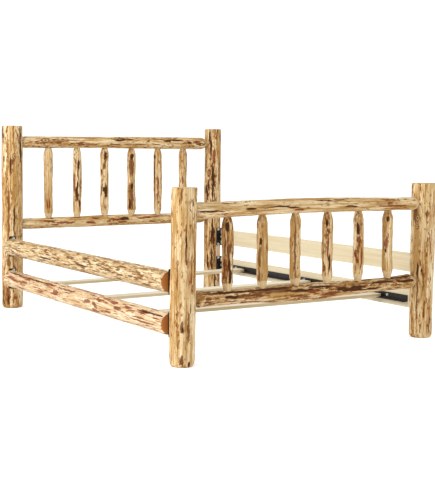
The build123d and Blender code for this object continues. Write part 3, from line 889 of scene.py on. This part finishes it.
@dataclass
class Post(Log):
    """A corner post, with a sawn flat on one side where the brackets are bolted on."""

    sides: int = 32
    flat_side: int = 1           # which way along Y the flat faces
    flat_finish: Finish = Finish.SAWN_FLAT
    flat_seat: float = 0.052
    flat_from: float = 0.1285
    flat_to: float = 0.4745
    bare_from: float = 0.0       # the plates' inner edge, from the axis: bare wood beyond, darkened before it

    @property
    def out(self) -> int:
        """Which way along X the bed's outside is."""
        return 1 if self.start[0] > 0 else -1

    def shape(self, log: bpy.types.Object, deep: float = 0.05) -> None:
        """Saws the flat, and parts its bare wood from its darkened wood.

        Args:
            log: The post.
            deep: The depth of the block that is taken off, enough to clear the post.
        """
        bpy.ops.object.select_all(action="DESELECT")
        bpy.ops.mesh.primitive_cube_add(size=1, location=(
            0, self.flat_side * (self.flat_seat + deep / 2), (self.flat_from + self.flat_to) / 2),
            scale=(0.3, deep, self.flat_to - self.flat_from))
        waste = bpy.context.object
        saw = log.modifiers.new("flat", "BOOLEAN")
        saw.object, saw.operation, saw.solver = waste, "DIFFERENCE", "EXACT"
        bpy.context.view_layer.objects.active = log
        bpy.ops.object.modifier_apply(modifier=saw.name)
        bpy.data.objects.remove(waste)
        for face in log.data.polygons:
            face.select = self.on_flat(face)
        with editing():
            bpy.ops.mesh.select_mode(type="FACE")
            bpy.ops.mesh.bisect(plane_co=(self.out * self.bare_from, 0, 0), plane_no=(1, 0, 0))

    def on_flat(self, face: bpy.types.MeshPolygon) -> bool:
        """Whether a face of the mesh is part of the flat."""
        return abs(face.center.y - self.flat_side * self.flat_seat) < 0.0005 and abs(face.normal.y) > 0.95

    def coats(self) -> tuple[Finish, ...]:
        """As any log's, and the flat's own."""
        return *super().coats(), self.flat_finish

    def coat_of(self, face: bpy.types.MeshPolygon) -> int:
        """Which finish a face has: the flat's on its bare part and on the steps at its ends.

        Args:
            face: The face.

        Returns:
            The finish's number.
        """
        bare = self.on_flat(face) and self.out * face.center.x > self.bare_from
        on_step = abs(face.normal.z) > 0.95 and self.flat_from - 0.001 < face.center.z < self.flat_to + 0.001
        return 2 if bare or on_step else super().coat_of(face)


@dataclass
class HalfLog(Log):
    """A side rail: a log with its inner side sawn off along its whole length."""

    depth: float = 0.055         # from the sawn face to the round back
    outward: int = 1             # which way along the log's own Y the round back faces
    slot: str = "half_log_pine"

    def shape(self, log: bpy.types.Object) -> None:
        """Saws the inner side off and closes the cut.

        Args:
            log: The whole log.
        """
        select(log)
        with editing():
            bpy.ops.mesh.select_all(action="SELECT")
            bpy.ops.mesh.bisect(plane_co=(0, self.outward * (self.butt - self.depth), 0),
                                plane_no=(0, self.outward, 0), use_fill=True, clear_inner=True)
            face_outwards()

    def coats(self) -> tuple[Finish, ...]:
        """The round back's, the stained ends' and the sawn face's."""
        return self.finish, Finish.STAINED_END, Finish.SAWN_FACE

    def coat_of(self, face: bpy.types.MeshPolygon) -> int:
        """Which finish a face has: the sawn one on the inner side."""
        inward = face.normal.y * self.outward < -0.95
        return 2 if inward and face.center.y * self.outward < self.butt - self.depth + 0.0005 else super().coat_of(face)


# ---- The boards at head and foot -----------------------------------------------------------------
SAWN = End(chamfer=0.003)
FOOT = End(chamfer=0.012)
HALF_PITCH = 0.7745              # from the bed's middle to a post's axis
RAIL_START = 0.7625              # and to the tip of a rail's tenon
SIDES = (("left", -1), ("right", 1))

Looks = dict[str, Any]


@dataclass
class Board:
    """The headboard or the footboard: two posts, two rails and six spindles."""

    name: str
    y: float
    height: float
    rail_heights: tuple[float, float]        # top and bottom
    flat_side: int                           # which way along Y the side rails are
    facet: float
    spindle_turn: float = 0.0
    spindle_seed: int = 20
    spindle_pitch: float = 0.209
    spindle_radius: float = 0.0285
    spindle_foot: End = End(tenon=0.019, length=0.028, shoulder=0.044, fullness=0.35, clean=0.8)
    spindle_top: End = End(tenon=0.019, length=0.028, shoulder=0.044, fullness=0.6)
    rail_tenon: float = 0.022
    rail_shoulder: End = End(shoulder=0.054, fullness=1.2)
    driven: float = 0.024                    # how deep a driven rail's shoulder is in its post
    gap: float = 0.0003                      # and how far off it another's stays

    def post_looks(self) -> tuple[Looks, Looks]:
        """The left and the right post's radii, lean, bark, knots and streaks."""
        raise NotImplementedError

    def rail_looks(self) -> tuple[Looks, Looks]:
        """The top and the bottom rail's radii, bow, bark, knots and streaks, and how their ends are made."""
        raise NotImplementedError

    def spindle_looks(self) -> tuple[Looks, ...]:
        """Each spindle's own bark, tone and streaks, from left to right."""
        raise NotImplementedError

    def rail_end(self, post: Post, height: float, side: int, sunk: bool = False, clean: float = 0.0,
                 fullness: float = 1.2, shoulder: float = 0.054) -> End:
        """A cross rail's end, whose tenon stops short of the post's axis.

        Args:
            post: The post it goes into.
            height: The rail's height on the post.
            side: -1 for the post on the left, 1 on the right.
            sunk: Whether the shoulder is driven into the post.
            clean: How much of the shoulder, from the tenon, is turned to pale wood.
            fullness: How far the shoulder stands out of a cone.
            shoulder: The shoulder's length.

        Returns:
            The end.
        """
        surface = post.radius(height) - side * post.heart(height)
        root = surface - (self.driven if sunk else -self.gap) - (HALF_PITCH - RAIL_START)
        return End(tenon=self.rail_tenon, length=root, shoulder=shoulder, fullness=fullness, clean=clean)

    def logs(self) -> list[Log]:
        """Lays out every log of the board.

        Returns:
            The posts, the rails and the spindles from left to right, each between its own sockets.
        """
        posts = [Post(f"{self.name}_post_{side}", (out * HALF_PITCH, self.y, 0), Run.UPRIGHT, self.height,
                      near=FOOT, far=SAWN, flat_side=self.flat_side, **looks)
                 for (side, out), looks in zip(SIDES, self.post_looks())]
        made: list[Log] = [*posts]
        for level, height, looks in zip(("top", "bottom"), self.rail_heights, self.rail_looks()):
            near, far = (self.rail_end(post, height, out, **looks.pop(side))
                         for post, (side, out) in zip(posts, SIDES))
            made.append(Log(f"{self.name}_{level}_rail", (-RAIL_START, self.y, height), Run.ACROSS, 2 * RAIL_START,
                            near=near, far=far, facet=self.facet, wave_stretch=3.0, **looks))
        for i, looks in enumerate(self.spindle_looks()):
            node = f"{self.name}_spindle_{i + 1}"
            low, high = (corner.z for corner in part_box(node))
            turn = 0.37 * i + self.spindle_turn
            taper = 0.0008 * math.cos(9 * turn)
            made.append(Log(
                node, ((i - 2.5) * self.spindle_pitch, self.y, low), Run.UPRIGHT, high - low,
                self.spindle_radius - taper, self.spindle_radius + taper, self.spindle_foot, self.spindle_top,
                bow=0.003 * math.sin(5 * turn), swell=0.0012, phase=turn, sides=16, spacing=0.03, facet=0.016,
                facet_depth=0.0016, wave=0.007, wave_stretch=1.6, trim=-0.0012, seed=self.spindle_seed + i, **looks))
        return made

    def build(self, finishes: Finishes) -> None:
        """Models every log of the board."""
        for log in self.logs():
            log.make(finishes)


@dataclass
class Headboard(Board):
    """The headboard, 1.19 m high."""

    name: str = "head"
    y: float = 1.105
    height: float = 1.1938
    rail_heights: tuple[float, float] = (1.088, 0.548)
    flat_side: int = -1
    facet: float = 0.022

    def post_looks(self) -> tuple[Looks, Looks]:
        """A thick honey post on the left, a thinner greyer one with more bark on the right.

        Returns:
            What is each post's own.
        """
        return (
            {"butt": 0.070, "tip": 0.0685, "lean": (-0.006, -0.002), "phase": 0.1, "seed": 2,
             "flat_finish": Finish.PEELED, "bark": 0.2, "red": 0.5, "dark": 0.8,
             "knots": (Knot(0.994, -100, 0.010), Knot(0.82, 160), Knot(0.5, 20), Knot(0.3, 150), Knot(0.9, 80)),
             "marks": Stain.DARK.at((1133, -174, 100, 9), (1069, -60, 220, 11), (929, -121, 100, 7),
                                    (609, -101, 110, 9), (298, -106, 80, 9), (75, -168, 170, 9), (52, -134, 57, 10))
             + Stain.BROWN.at((974, -165, 42, 15), (622, -132, 340, 11), (528, -102, 90, 8), (302, -136, 60, 13),
                              (303, -75, 64, 13), (81, -133, 120, 17))
             + Stain.TAN.at((610, -123, 300, 40), (694, -83, 470, 40))},
            {"butt": 0.0625, "tip": 0.0615, "lean": (-0.002, 0.004), "phase": 0.45, "seed": 3, "bark": 0.22,
             "red": 0.3, "dark": 1.0,
             "knots": (Knot(0.873, -148, 0.010), Knot(0.6, -60), Knot(0.4, 100), Knot(1.0, 30)),
             "marks": Stain.DARK.at((1139, -145, 94, 9), (1059, -134, 126, 12), (960, -179, 180, 9),
                                    (870, -121, 143, 13), (822, -113, 86, 10), (749, -120, 135, 9), (785, -151, 87, 9),
                                    (755, -170, 55, 15), (708, -159, 62, 12), (489, -121, 110, 9), (401, -126, 95, 10),
                                    (408, -104, 110, 10), (242, -126, 150, 11), (230, -154, 95, 10), (80, -101, 104, 8))
             + Stain.RED.at((994, -112, 110, 18), (873, -149, 60, 22)) + Stain.TAN.at((84, -133, 95, 44))},
        )

    def rail_looks(self) -> tuple[Looks, Looks]:
        """A straight top rail and a redder bottom one, both driven in on the left.

        Returns:
            What is each rail's own.
        """
        return (
            {"left": {"sunk": True}, "right": {}, "butt": 0.037, "tip": 0.042, "bow": 0.002, "phase": 0.2, "seed": 4,
             "wave": 0.004, "trim": -0.001, "bark": 0.12, "red": 0.4, "dark": 0.7,
             "knots": (Knot(0.206, 70, 0.013, longer=2.2), Knot(0.7, 200)),
             "marks": Stain.DARK.at((759, 65, 75, 10), (819, 55, 100, 7), (1136, 71, 53, 11), (1203, 61, 105, 9),
                                    (1316, 84, 33, 9), (1396, 95, 43, 7))
             + Stain.BROWN.at((237, 148, 150, 7), (383, 68, 165, 5), (723, 108, 84, 7))
             + Stain.RED.at((515, 109, 170, 7), (1042, 104, 77, 7), (1291, 89, 70, 10), (1376, 76, 70, 16))},
            {"left": {"sunk": True}, "right": {}, "butt": 0.034, "tip": 0.0355, "bow": 0.002, "phase": 0.6, "seed": 5,
             "wave": 0.004, "trim": -0.0028, "bark": 0.12, "red": 0.7, "dark": 0.5, "knots": (Knot(0.9, 260),),
             "marks": Stain.RED.at((229, 68, 69, 11), (272, 108, 54, 9), (348, 91, 127, 12), (530, 99, 72, 10),
                                   (574, 55, 61, 11), (729, 76, 92, 11), (775, 104, 74, 10), (946, 70, 124, 10),
                                   (1019, 113, 57, 11))
             + Stain.DARK.at((795, 73, 66, 14), (245, 29, 38, 8))
             + Stain.BROWN.at((1028, 54, 119, 8), (436, 34, 65, 8))},
        )

    def spindle_looks(self) -> tuple[Looks, ...]:
        """The first and last are nearly clean, the others streaked.

        Returns:
            What is each spindle's own, from left to right.
        """
        return (
            {"bark": 0.02, "tone": -0.03, "marks":
             Stain.RED.at((119, -129, 65, 7), (121, -103, 69, 7)) + Stain.TAN.at((246, -105, 374, 20))},
            {"bark": 0.12, "marks":
             Stain.DARK.at((382, -94, 58, 12), (237, -113, 66, 9), (182, -122, 96, 14), (121, -81, 50, 10))
             + Stain.RED.at((260, -157, 118, 11)) + Stain.BROWN.at((318, -105, 96, 8))},
            {"bark": 0.1, "tone": -0.04, "marks":
             Stain.DARK.at((443, -109, 44, 14), (330, -162, 36, 11), (199, -96, 82, 18), (209, -124, 29, 10))
             + Stain.BROWN.at((385, -109, 67, 11), (195, -169, 75, 10))},
            {"bark": 0.14, "tone": 0.02, "marks":
             Stain.DARK.at((438, -110, 33, 17), (230, -110, 37, 17), (104, -142, 68, 11))
             + Stain.BROWN.at((367, -117, 137, 28), (146, -113, 160, 21))},
            {"bark": 0.08, "marks":
             Stain.DARK.at((323, -175, 202, 9), (436, -170, 29, 14)) + Stain.BROWN.at((155, -174, 178, 7))
             + Stain.RED.at((234, -116, 162, 10))},
            {"bark": 0.03, "marks": Stain.TAN.at((354, -110, 291, 29)) + Stain.BROWN.at((271, -122, 62, 10))},
        )


@dataclass
class Footboard(Board):
    """The footboard, 0.86 m high."""

    name: str = "foot"
    y: float = -1.105
    height: float = 0.864
    rail_heights: tuple[float, float] = (0.751, 0.318)
    flat_side: int = 1
    facet: float = 0.024
    spindle_turn: float = 0.15
    spindle_seed: int = 30

    def post_looks(self) -> tuple[Looks, Looks]:
        """A pale post on the left, a tan one that thickens to its top on the right.

        Returns:
            What is each post's own.
        """
        return (
            {"butt": 0.0645, "tip": 0.0645, "lean": (-0.007, 0.005), "phase": 0.7, "seed": 6, "bark": 0.08,
             "red": 0.2, "tone": -0.03, "knots": (Knot(0.506, -146, 0.006), Knot(0.6, 10), Knot(0.3, 60)),
             "marks": Stain.TAN.at((671, -113, 420, 30), (406, -129, 174, 57))
             + Stain.BROWN.at((833, -131, 63, 7), (581, -109, 190, 9), (444, -146, 132, 6), (185, -93, 133, 10),
                              (198, -122, 54, 14), (37, -120, 48, 14), (290, -84, 48, 6))
             + Stain.DARK.at((602, -109, 58, 6), (186, -118, 27, 7), (792, -78, 37, 5), (15, -85, 27, 9))
             + Stain.RED.at((506, -84, 80, 6), (427, -85, 43, 8), (499, -62, 260, 6))},
            {"butt": 0.065, "tip": 0.0712, "lean": (0, 0.013), "phase": 0.25, "seed": 7, "bark": 0.12, "red": 0.2,
             "tone": -0.02, "knots": (Knot(0.671, -160, 0.010), Knot(0.624, -162, 0.008), Knot(0.3, 40)),
             "marks": Stain.TAN.at((696, -165, 232, 44), (499, -155, 239, 22))
             + Stain.BROWN.at((693, -173, 92, 22), (270, -154, 129, 7), (163, -156, 117, 8), (305, -126, 104, 6),
                              (117, 174, 148, 6), (74, -88, 93, 7), (536, -112, 61, 6))
             + Stain.DARK.at((376, -155, 80, 8), (380, -136, 24, 6))
             + Stain.RED.at((143, -121, 68, 7), (522, -94, 141, 5))},
        )

    def rail_looks(self) -> tuple[Looks, Looks]:
        """A bowed top rail, driven in at both ends, and a bottom one that sags and keeps the most bark.

        Returns:
            What is each rail's own.
        """
        return (
            {"left": {"sunk": True}, "right": {"sunk": True, "clean": 0.75}, "butt": 0.0425, "tip": 0.038,
             "bow": 0.008, "phase": 0.35, "seed": 8, "wave": 0.004, "bark": 0.0, "red": 0.6, "tone": -0.05,
             "knots": (Knot(0.9, 250),),
             "marks": Stain.DARK.at((121, 98, 139, 6), (352, 92, 59, 7), (545, 84, 109, 6), (617, 97, 63, 6),
                                    (818, 49, 94, 6), (919, 45, 81, 6), (999, 102, 81, 6))
             + Stain.BROWN.at((219, 41, 75, 6), (458, 90, 94, 5))
             + Stain.RED.at((652, 116, 66, 10), (1280, 49, 119, 10), (1269, 77, 45, 7), (1237, 105, 98, 7),
                            (1331, 105, 119, 8), (1328, 130, 224, 6))},
            {"left": {"fullness": 2.2, "shoulder": 0.03}, "right": {"clean": 0.5, "fullness": 1.9}, "butt": 0.0395,
             "tip": 0.0375, "bow": -0.008, "swell": 0.005, "phase": 0.5, "seed": 9, "wave": 0.006, "trim": -0.0028,
             "bark": 0.3, "red": 0.3, "dark": 1.0, "knots": (Knot(0.4, 100),),
             "marks": Stain.TAN.at((54, 72, 55, 58))
             + Stain.BROWN.at((172, 45, 178, 11), (324, 79, 132, 10), (493, 59, 247, 15))
             + Stain.DARK.at((289, 42, 281, 9), (491, 42, 215, 11), (247, 84, 71, 12), (935, 82, 69, 15),
                             (1003, 99, 124, 9), (1048, 82, 116, 9), (1220, 62, 147, 9), (1332, 34, 172, 10),
                             (1384, 74, 120, 10), (660, 70, 180, 8), (800, 55, 150, 8), (1130, 110, 160, 8))
             + Stain.RED.at((360, 136, 108, 10), (644, 106, 104, 7), (736, 80, 99, 12), (867, 111, 137, 10),
                            (1020, 90, 120, 9))},
        )

    def spindle_looks(self) -> tuple[Looks, ...]:
        """The first keeps much bark, the third almost none.

        Returns:
            What is each spindle's own, from left to right.
        """
        return (
            {"bark": 0.3, "dark": 1.0, "marks":
             Stain.DARK.at((342, -121, 44, 15), (147, -106, 60, 10), (93, -94, 93, 12))
             + Stain.BROWN.at((256, -147, 114, 7), (214, -111, 98, 12)) + Stain.RED.at((127, -158, 104, 10))},
            {"bark": 0.08, "tone": 0.03, "marks":
             Stain.DARK.at((263, -145, 31, 11)) + Stain.BROWN.at((186, -152, 106, 11), (89, -159, 73, 13))
             + Stain.TAN.at((196, -125, 339, 30))},
            {"bark": 0.02, "tone": 0.02, "marks":
             Stain.TAN.at((206, -120, 334, 36)) + Stain.BROWN.at((209, -126, 284, 8))},
            {"bark": 0.13, "red": 0.6, "marks":
             Stain.DARK.at((343, -133, 29, 9), (133, -104, 87, 7))
             + Stain.RED.at((207, -125, 110, 7), (103, -164, 35, 16))},
            {"bark": 0.14, "red": 0.7, "marks":
             Stain.DARK.at((306, -136, 59, 12))
             + Stain.RED.at((248, -126, 35, 13), (174, -163, 41, 10), (143, -145, 42, 11), (143, -97, 136, 6))},
            {"bark": 0.12, "tone": 0.03, "red": 0.5, "marks":
             Stain.DARK.at((351, -127, 30, 11), (178, -147, 24, 8)) + Stain.RED.at((217, -145, 72, 12))},
        )


# ---- Side rails, slats and steel -----------------------------------------------------------------
SIDE_FACE = 0.8125               # from the bed's middle to the half logs' sawn faces
SIDE_RAIL_HEIGHTS = {"upper": 0.405, "lower": 0.198}


@dataclass
class SideRails:
    """The four half logs."""

    radius: float = 0.057
    depth: float = 0.055
    length: float = 2.0864
    end: End = End(chamfer=0.004)

    def looks(self) -> dict[str, Looks]:
        """A flecked upper rail and a patched lower one, their streaks on the round back.

        Returns:
            What is each rail's own, by its level.
        """
        return {
            "upper": {"seed": 40, "finish": Finish.FLECKED, "bark": 0.2, "red": 0.2, "dark": 0.2, "marks":
                      Stain.DARK.at((1403, -100, 177, 7), (898, -95, 150, 7)) + Stain.RED.at((1424, -50, 38, 13))
                      + Stain.BROWN.at((880, -50, 72, 11), (313, -94, 54, 9), (695, -71, 54, 9), (456, -74, 46, 11),
                                       (436, -98, 81, 8))},
            "lower": {"seed": 41, "finish": Finish.PATCHED, "bark": 0.08, "red": 0.8, "dark": 0.5, "marks":
                      Stain.DARK.at((1931, -33, 162, 7), (1511, -42, 351, 6), (129, -45, 252, 6))
                      + Stain.RED.at((1699, -50, 76, 16), (1962, -67, 129, 15), (1802, -79, 228, 10),
                                     (1257, -81, 74, 26), (720, -48, 30, 14), (716, -99, 43, 13), (735, -119, 86, 14),
                                     (528, -43, 97, 14), (364, -47, 62, 13), (572, -104, 73, 13))
                      + Stain.BROWN.at((1792, -40, 157, 9), (1121, -47, 218, 9), (194, -100, 317, 6),
                                       (238, -86, 123, 7), (830, -77, 78, 14), (740, -82, 49, 15), (466, -68, 83, 15))},
        }

    def build(self, finishes: Finishes) -> None:
        """Models the half logs. The right ones are like the left ones, turned about.

        Args:
            finishes: The bed's materials.
        """
        for side, out in SIDES:
            for level, looks in self.looks().items():
                if out > 0:
                    looks["seed"] += 2
                    looks["marks"] = tuple(Streak(mark.stain, self.length - mark.along, -mark.around, mark.length,
                                                  mark.width) for mark in looks["marks"])
                heart = out * (SIDE_FACE + self.depth - self.radius)
                start = (heart, -self.length / 2, SIDE_RAIL_HEIGHTS[level])
                HalfLog(f"{side}_{level}_side_rail", start, Run.ALONG, self.length, self.radius, self.radius,
                        self.end, self.end, swell=0.0, depth=self.depth, outward=out, spacing=0.05, sides=32,
                        facet_depth=0.0009, wave=0.0022, bumps=0.0005, trim=0.0014, **looks).make(finishes)


@dataclass
class Slats:
    """Three loose 1 x 4 boards, each on a body of its own."""

    length: float = 1.5954
    width: float = 0.089
    thickness: float = 0.019
    under: float = 0.1798        # height of the ledgers' seats
    eased: float = 0.0025
    insets: tuple[tuple[float, float], ...] = ((0.012, 0.0), (0.018, -0.0004))     # the cup's two steps
    places: tuple[tuple[str, float, float], ...] = (
        ("head", 0.734, 1.7), ("middle", -0.017, 0.0), ("foot", -0.676, -1.85))

    def plane_board(self) -> bpy.types.Object:
        """Models one board along X at the origin, with eased edges and a slight cup on its upper face.

        Returns:
            The board.
        """
        bpy.ops.object.select_all(action="DESELECT")
        bpy.ops.mesh.primitive_cube_add(size=1, location=(0, 0, 0), scale=(self.length, self.width, self.thickness))
        board = bpy.context.object

        def is_long(edge: bpy.types.MeshEdge) -> bool:
            """Whether an edge runs the board's length."""
            low, high = (board.data.vertices[i].co for i in edge.vertices)
            return abs(low.x - high.x) > self.length / 2

        pick(board, "EDGE", is_long)
        with editing():
            bpy.ops.mesh.bevel(offset=self.eased, segments=3)
        pick(board, "FACE", lambda face: face.normal.z > 0.99)
        with editing():
            for thickness, depth in self.insets:
                bpy.ops.mesh.inset(thickness=thickness, depth=depth)
        bpy.ops.object.shade_smooth_by_angle(angle=math.radians(40))
        return board

    def build(self, finishes: Finishes) -> None:
        """Models the board once, and lays a copy of it at each place.

        Args:
            finishes: The bed's materials.
        """
        board = self.plane_board()
        for finish in (Finish.SLAT, Finish.SLAT_EDGE):
            board.data.materials.append(finishes[finish])
        # Upright faces, the sides and ends, take the darker copy as painted shade; the top and bottom take the plain
        # slat pine.
        for face in board.data.polygons:
            face.material_index = 0 if abs(face.normal.z) > 0.6 else 1
        for number, (name, y, turn) in enumerate(self.places, 1):
            slat = copy_of(board)
            slat.name = f"slat_{number}_board"
            slat.matrix_world = (Matrix.Translation((0, y, self.under + self.thickness / 2))
                                 @ Matrix.Rotation(math.radians(turn), 4, "Z"))
            seat(slat, f"slat_{name}", f"slat_{number}", "slat_pine")
        bpy.data.objects.remove(board)


@dataclass
class Ironwork:
    """The lag bolts, and the paint on the brackets and ledgers."""

    shank: float = 0.00475       # radii and heights of a bolt
    point: float = 0.001
    taper: float = 0.009
    flange: float = 0.0095
    flange_high: float = 0.0016
    flats: float = 0.0143
    head_high: float = 0.0054
    head_sunk: float = 0.0001    # into the flange
    head_bevel: float = 0.0011
    flange_bevel: float = 0.0006
    steel: float = 0.0048        # the brackets' and ledgers' thickness
    flat_y: float = 1.053        # from the bed's middle to the posts' flats
    post_bolt_x: float = 0.7931
    post_bolt_rise: float = 0.0535           # above and below a bracket's middle
    tongue_bolt_ys: tuple[float, float] = (0.9931, 1.0271)
    ledger_bolt_ys: tuple[float, float, float] = (0.83, 0.02, -0.79)
    ledger_bolt_z: float = 0.1964
    post_bolt: float = 0.076     # lengths under the flange
    side_bolt: float = 0.0478

    def forge_bolt(self, length: float) -> bpy.types.Object:
        """Models a hex lag bolt on Z = 0: a washer flange, a chamfered head and a pointed shank.

        Args:
            length: From under the flange to the point.

        Returns:
            The bolt, with its head along +Z.
        """
        bpy.ops.object.select_all(action="DESELECT")
        bpy.ops.mesh.primitive_circle_add(vertices=12, radius=self.point, fill_type="NGON", location=(0, 0, -length))
        bolt = bpy.context.object
        with editing():
            bpy.ops.mesh.select_all(action="SELECT")
            draw_up([(-length, self.point), (-length + self.taper, self.shank), (0.0, self.shank), (0.0, self.flange),
                     (self.flange_high * 0.6, self.flange), (self.flange_high, self.flange - self.flange_bevel),
                     (self.flange_high, self.shank)], lambda height: 0.0)
        bpy.ops.mesh.primitive_cylinder_add(
            vertices=6, radius=self.flats / math.sqrt(3), depth=self.head_high,
            location=(0, 0, self.flange_high + self.head_high / 2 - self.head_sunk))
        head = bpy.context.object
        pick(head, "FACE", lambda face: face.normal.z > 0.9)
        with editing():
            bpy.ops.mesh.bevel(offset=self.head_bevel, segments=2)
        select(bolt, head)
        bpy.ops.object.join()
        bpy.ops.object.transform_apply(location=True, rotation=True, scale=True)
        with editing():
            face_outwards()
        bpy.ops.object.shade_smooth_by_angle(angle=math.radians(30))
        return bolt

    def groups(self) -> dict[str, tuple[float, list[tuple[Vector, Vector]]]]:
        """Works out where the bolts go.

        Returns:
            The length of each group's bolts, with where each sits and which way its head faces.
        """
        post, rail, ledger = [], [], []
        for _, out in SIDES:
            inner = out * (SIDE_FACE - self.steel)
            inward = Vector((-out, 0, 0))
            for end in (-1, 1):
                for middle in reversed(SIDE_RAIL_HEIGHTS.values()):
                    post += [(Vector((out * self.post_bolt_x, end * (self.flat_y - self.steel), middle + rise)),
                              Vector((0, -end, 0))) for rise in (-self.post_bolt_rise, self.post_bolt_rise)]
                    rail += [(Vector((inner, end * y, middle)), inward) for y in self.tongue_bolt_ys]
            ledger += [(Vector((inner, y, self.ledger_bolt_z)), inward) for y in self.ledger_bolt_ys]
        return {"post_lag_bolts": (self.post_bolt, post), "rail_lag_bolts": (self.side_bolt, rail),
                "ledger_lag_bolts": (self.side_bolt, ledger)}

    def build(self, finishes: Finishes) -> None:
        """Places the bolts, each turned its own way, and paints the brackets and ledgers.

        Args:
            finishes: The bed's materials.
        """
        for node, (length, places) in self.groups().items():
            bolt = self.forge_bolt(length)
            bolt.data.materials.append(finishes[Finish.ZINC])
            copies = []
            for number, (spot, facing) in enumerate(places):
                copies.append(copy_of(bolt))
                copies[-1].matrix_world = (
                    Matrix.Translation(spot) @ facing.to_track_quat("Z", "Y").to_matrix().to_4x4()
                    @ Matrix.Rotation(math.radians(23 * number), 4, "Z"))
            bpy.data.objects.remove(bolt)
            select(*copies)
            bpy.ops.object.join()
            group = bpy.context.object
            group.name = node + "_forged"
            seat(group, BED, node, "bolt_steel")
        for node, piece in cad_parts.items():
            if "bracket" in node or "ledger" in node and "bolts" not in node:
                piece.data.materials.clear()
                piece.data.materials.append(finishes[Finish.PAINT])


# ---- Studio --------------------------------------------------------------------------------------
@dataclass
class Studio:
    """The pale floor, the soft lights and the camera."""

    focal_px: float = 1047.31
    image_px: tuple[int, int] = (435, 495)
    yaw: float = math.radians(32.4)
    pitch: float = math.radians(3.2)
    roll: float = math.radians(0.26)
    place: tuple[float, float, float] = (-3.32657, -5.43111, 1.04903)
    rise_px: float = 40.0
    sensor_mm: float = 36.0
    surround: float = 1.1
    lamps: tuple[tuple[str, tuple[float, float, float], float, float], ...] = (
        ("key", (-5.0, -0.5, 3.0), 230.0, 3.0), ("fill", (3.5, -4.0, 3.5), 30.0, 4.0))

    def build(self, finishes: Finishes) -> None:
        """Lays the floor and places the lights and the camera.

        Args:
            finishes: The materials, of which the floor takes its own.
        """
        bpy.context.scene.view_settings.view_transform = "Standard"
        bpy.ops.object.select_all(action="DESELECT")
        bpy.ops.mesh.primitive_plane_add(size=60, location=(0, 0, 0))
        floor = bpy.context.object
        floor.name = "floor"
        floor.data.materials.append(finishes[Finish.FLOOR])
        self.hang_lights()
        self.place_camera()

    def hang_lights(self) -> None:
        """A pale surround and two large soft lamps, the brighter one on the left."""
        world = bpy.data.worlds.new("studio")
        world.use_nodes = True
        plug(world.node_tree, world.node_tree.nodes["Background"], {"Color": (1, 1, 1, 1), "Strength": self.surround})
        bpy.context.scene.world = world
        for name, place, power, size in self.lamps:
            data = bpy.data.lights.new(name, "AREA")
            data.energy, data.size = power, size
            lamp = bpy.data.objects.new(name, data)
            bpy.context.scene.collection.objects.link(lamp)
            lamp.location = place
            lamp.rotation_euler = (Vector((0, 0, 0.4)) - Vector(place)).to_track_quat("-Z", "Y").to_euler()

    def place_camera(self) -> None:
        """A camera past the left foot post, a little above the headboard's middle."""
        data = bpy.data.cameras.new("camera")
        camera = bpy.data.objects.new("camera", data)
        bpy.context.scene.collection.objects.link(camera)
        data.sensor_width = self.sensor_mm
        data.lens = self.focal_px * self.sensor_mm / max(self.image_px)
        data.shift_y = -self.rise_px / max(self.image_px)
        data.clip_end = 100
        forward = Vector((math.sin(self.yaw) * math.cos(self.pitch), math.cos(self.yaw) * math.cos(self.pitch),
                          -math.sin(self.pitch)))
        level = Vector((math.cos(self.yaw), -math.sin(self.yaw), 0))
        right = math.cos(self.roll) * level + math.sin(self.roll) * level.cross(forward)
        up = right.cross(forward)
        camera.matrix_world = Matrix.Translation(self.place) @ Matrix((right, up, -forward)).transposed().to_4x4()
        bpy.context.scene.camera = camera


def main() -> None:
    """Builds the bed and the studio."""
    logging.basicConfig(level=logging.INFO, format="%(message)s")
    finishes = {finish: finish.value.material() for finish in Finish}
    for assembly in (Headboard(), Footboard(), SideRails(), Slats(), Ironwork(), Studio()):
        assembly.build(finishes)


if __name__ == "__main__":
    main()
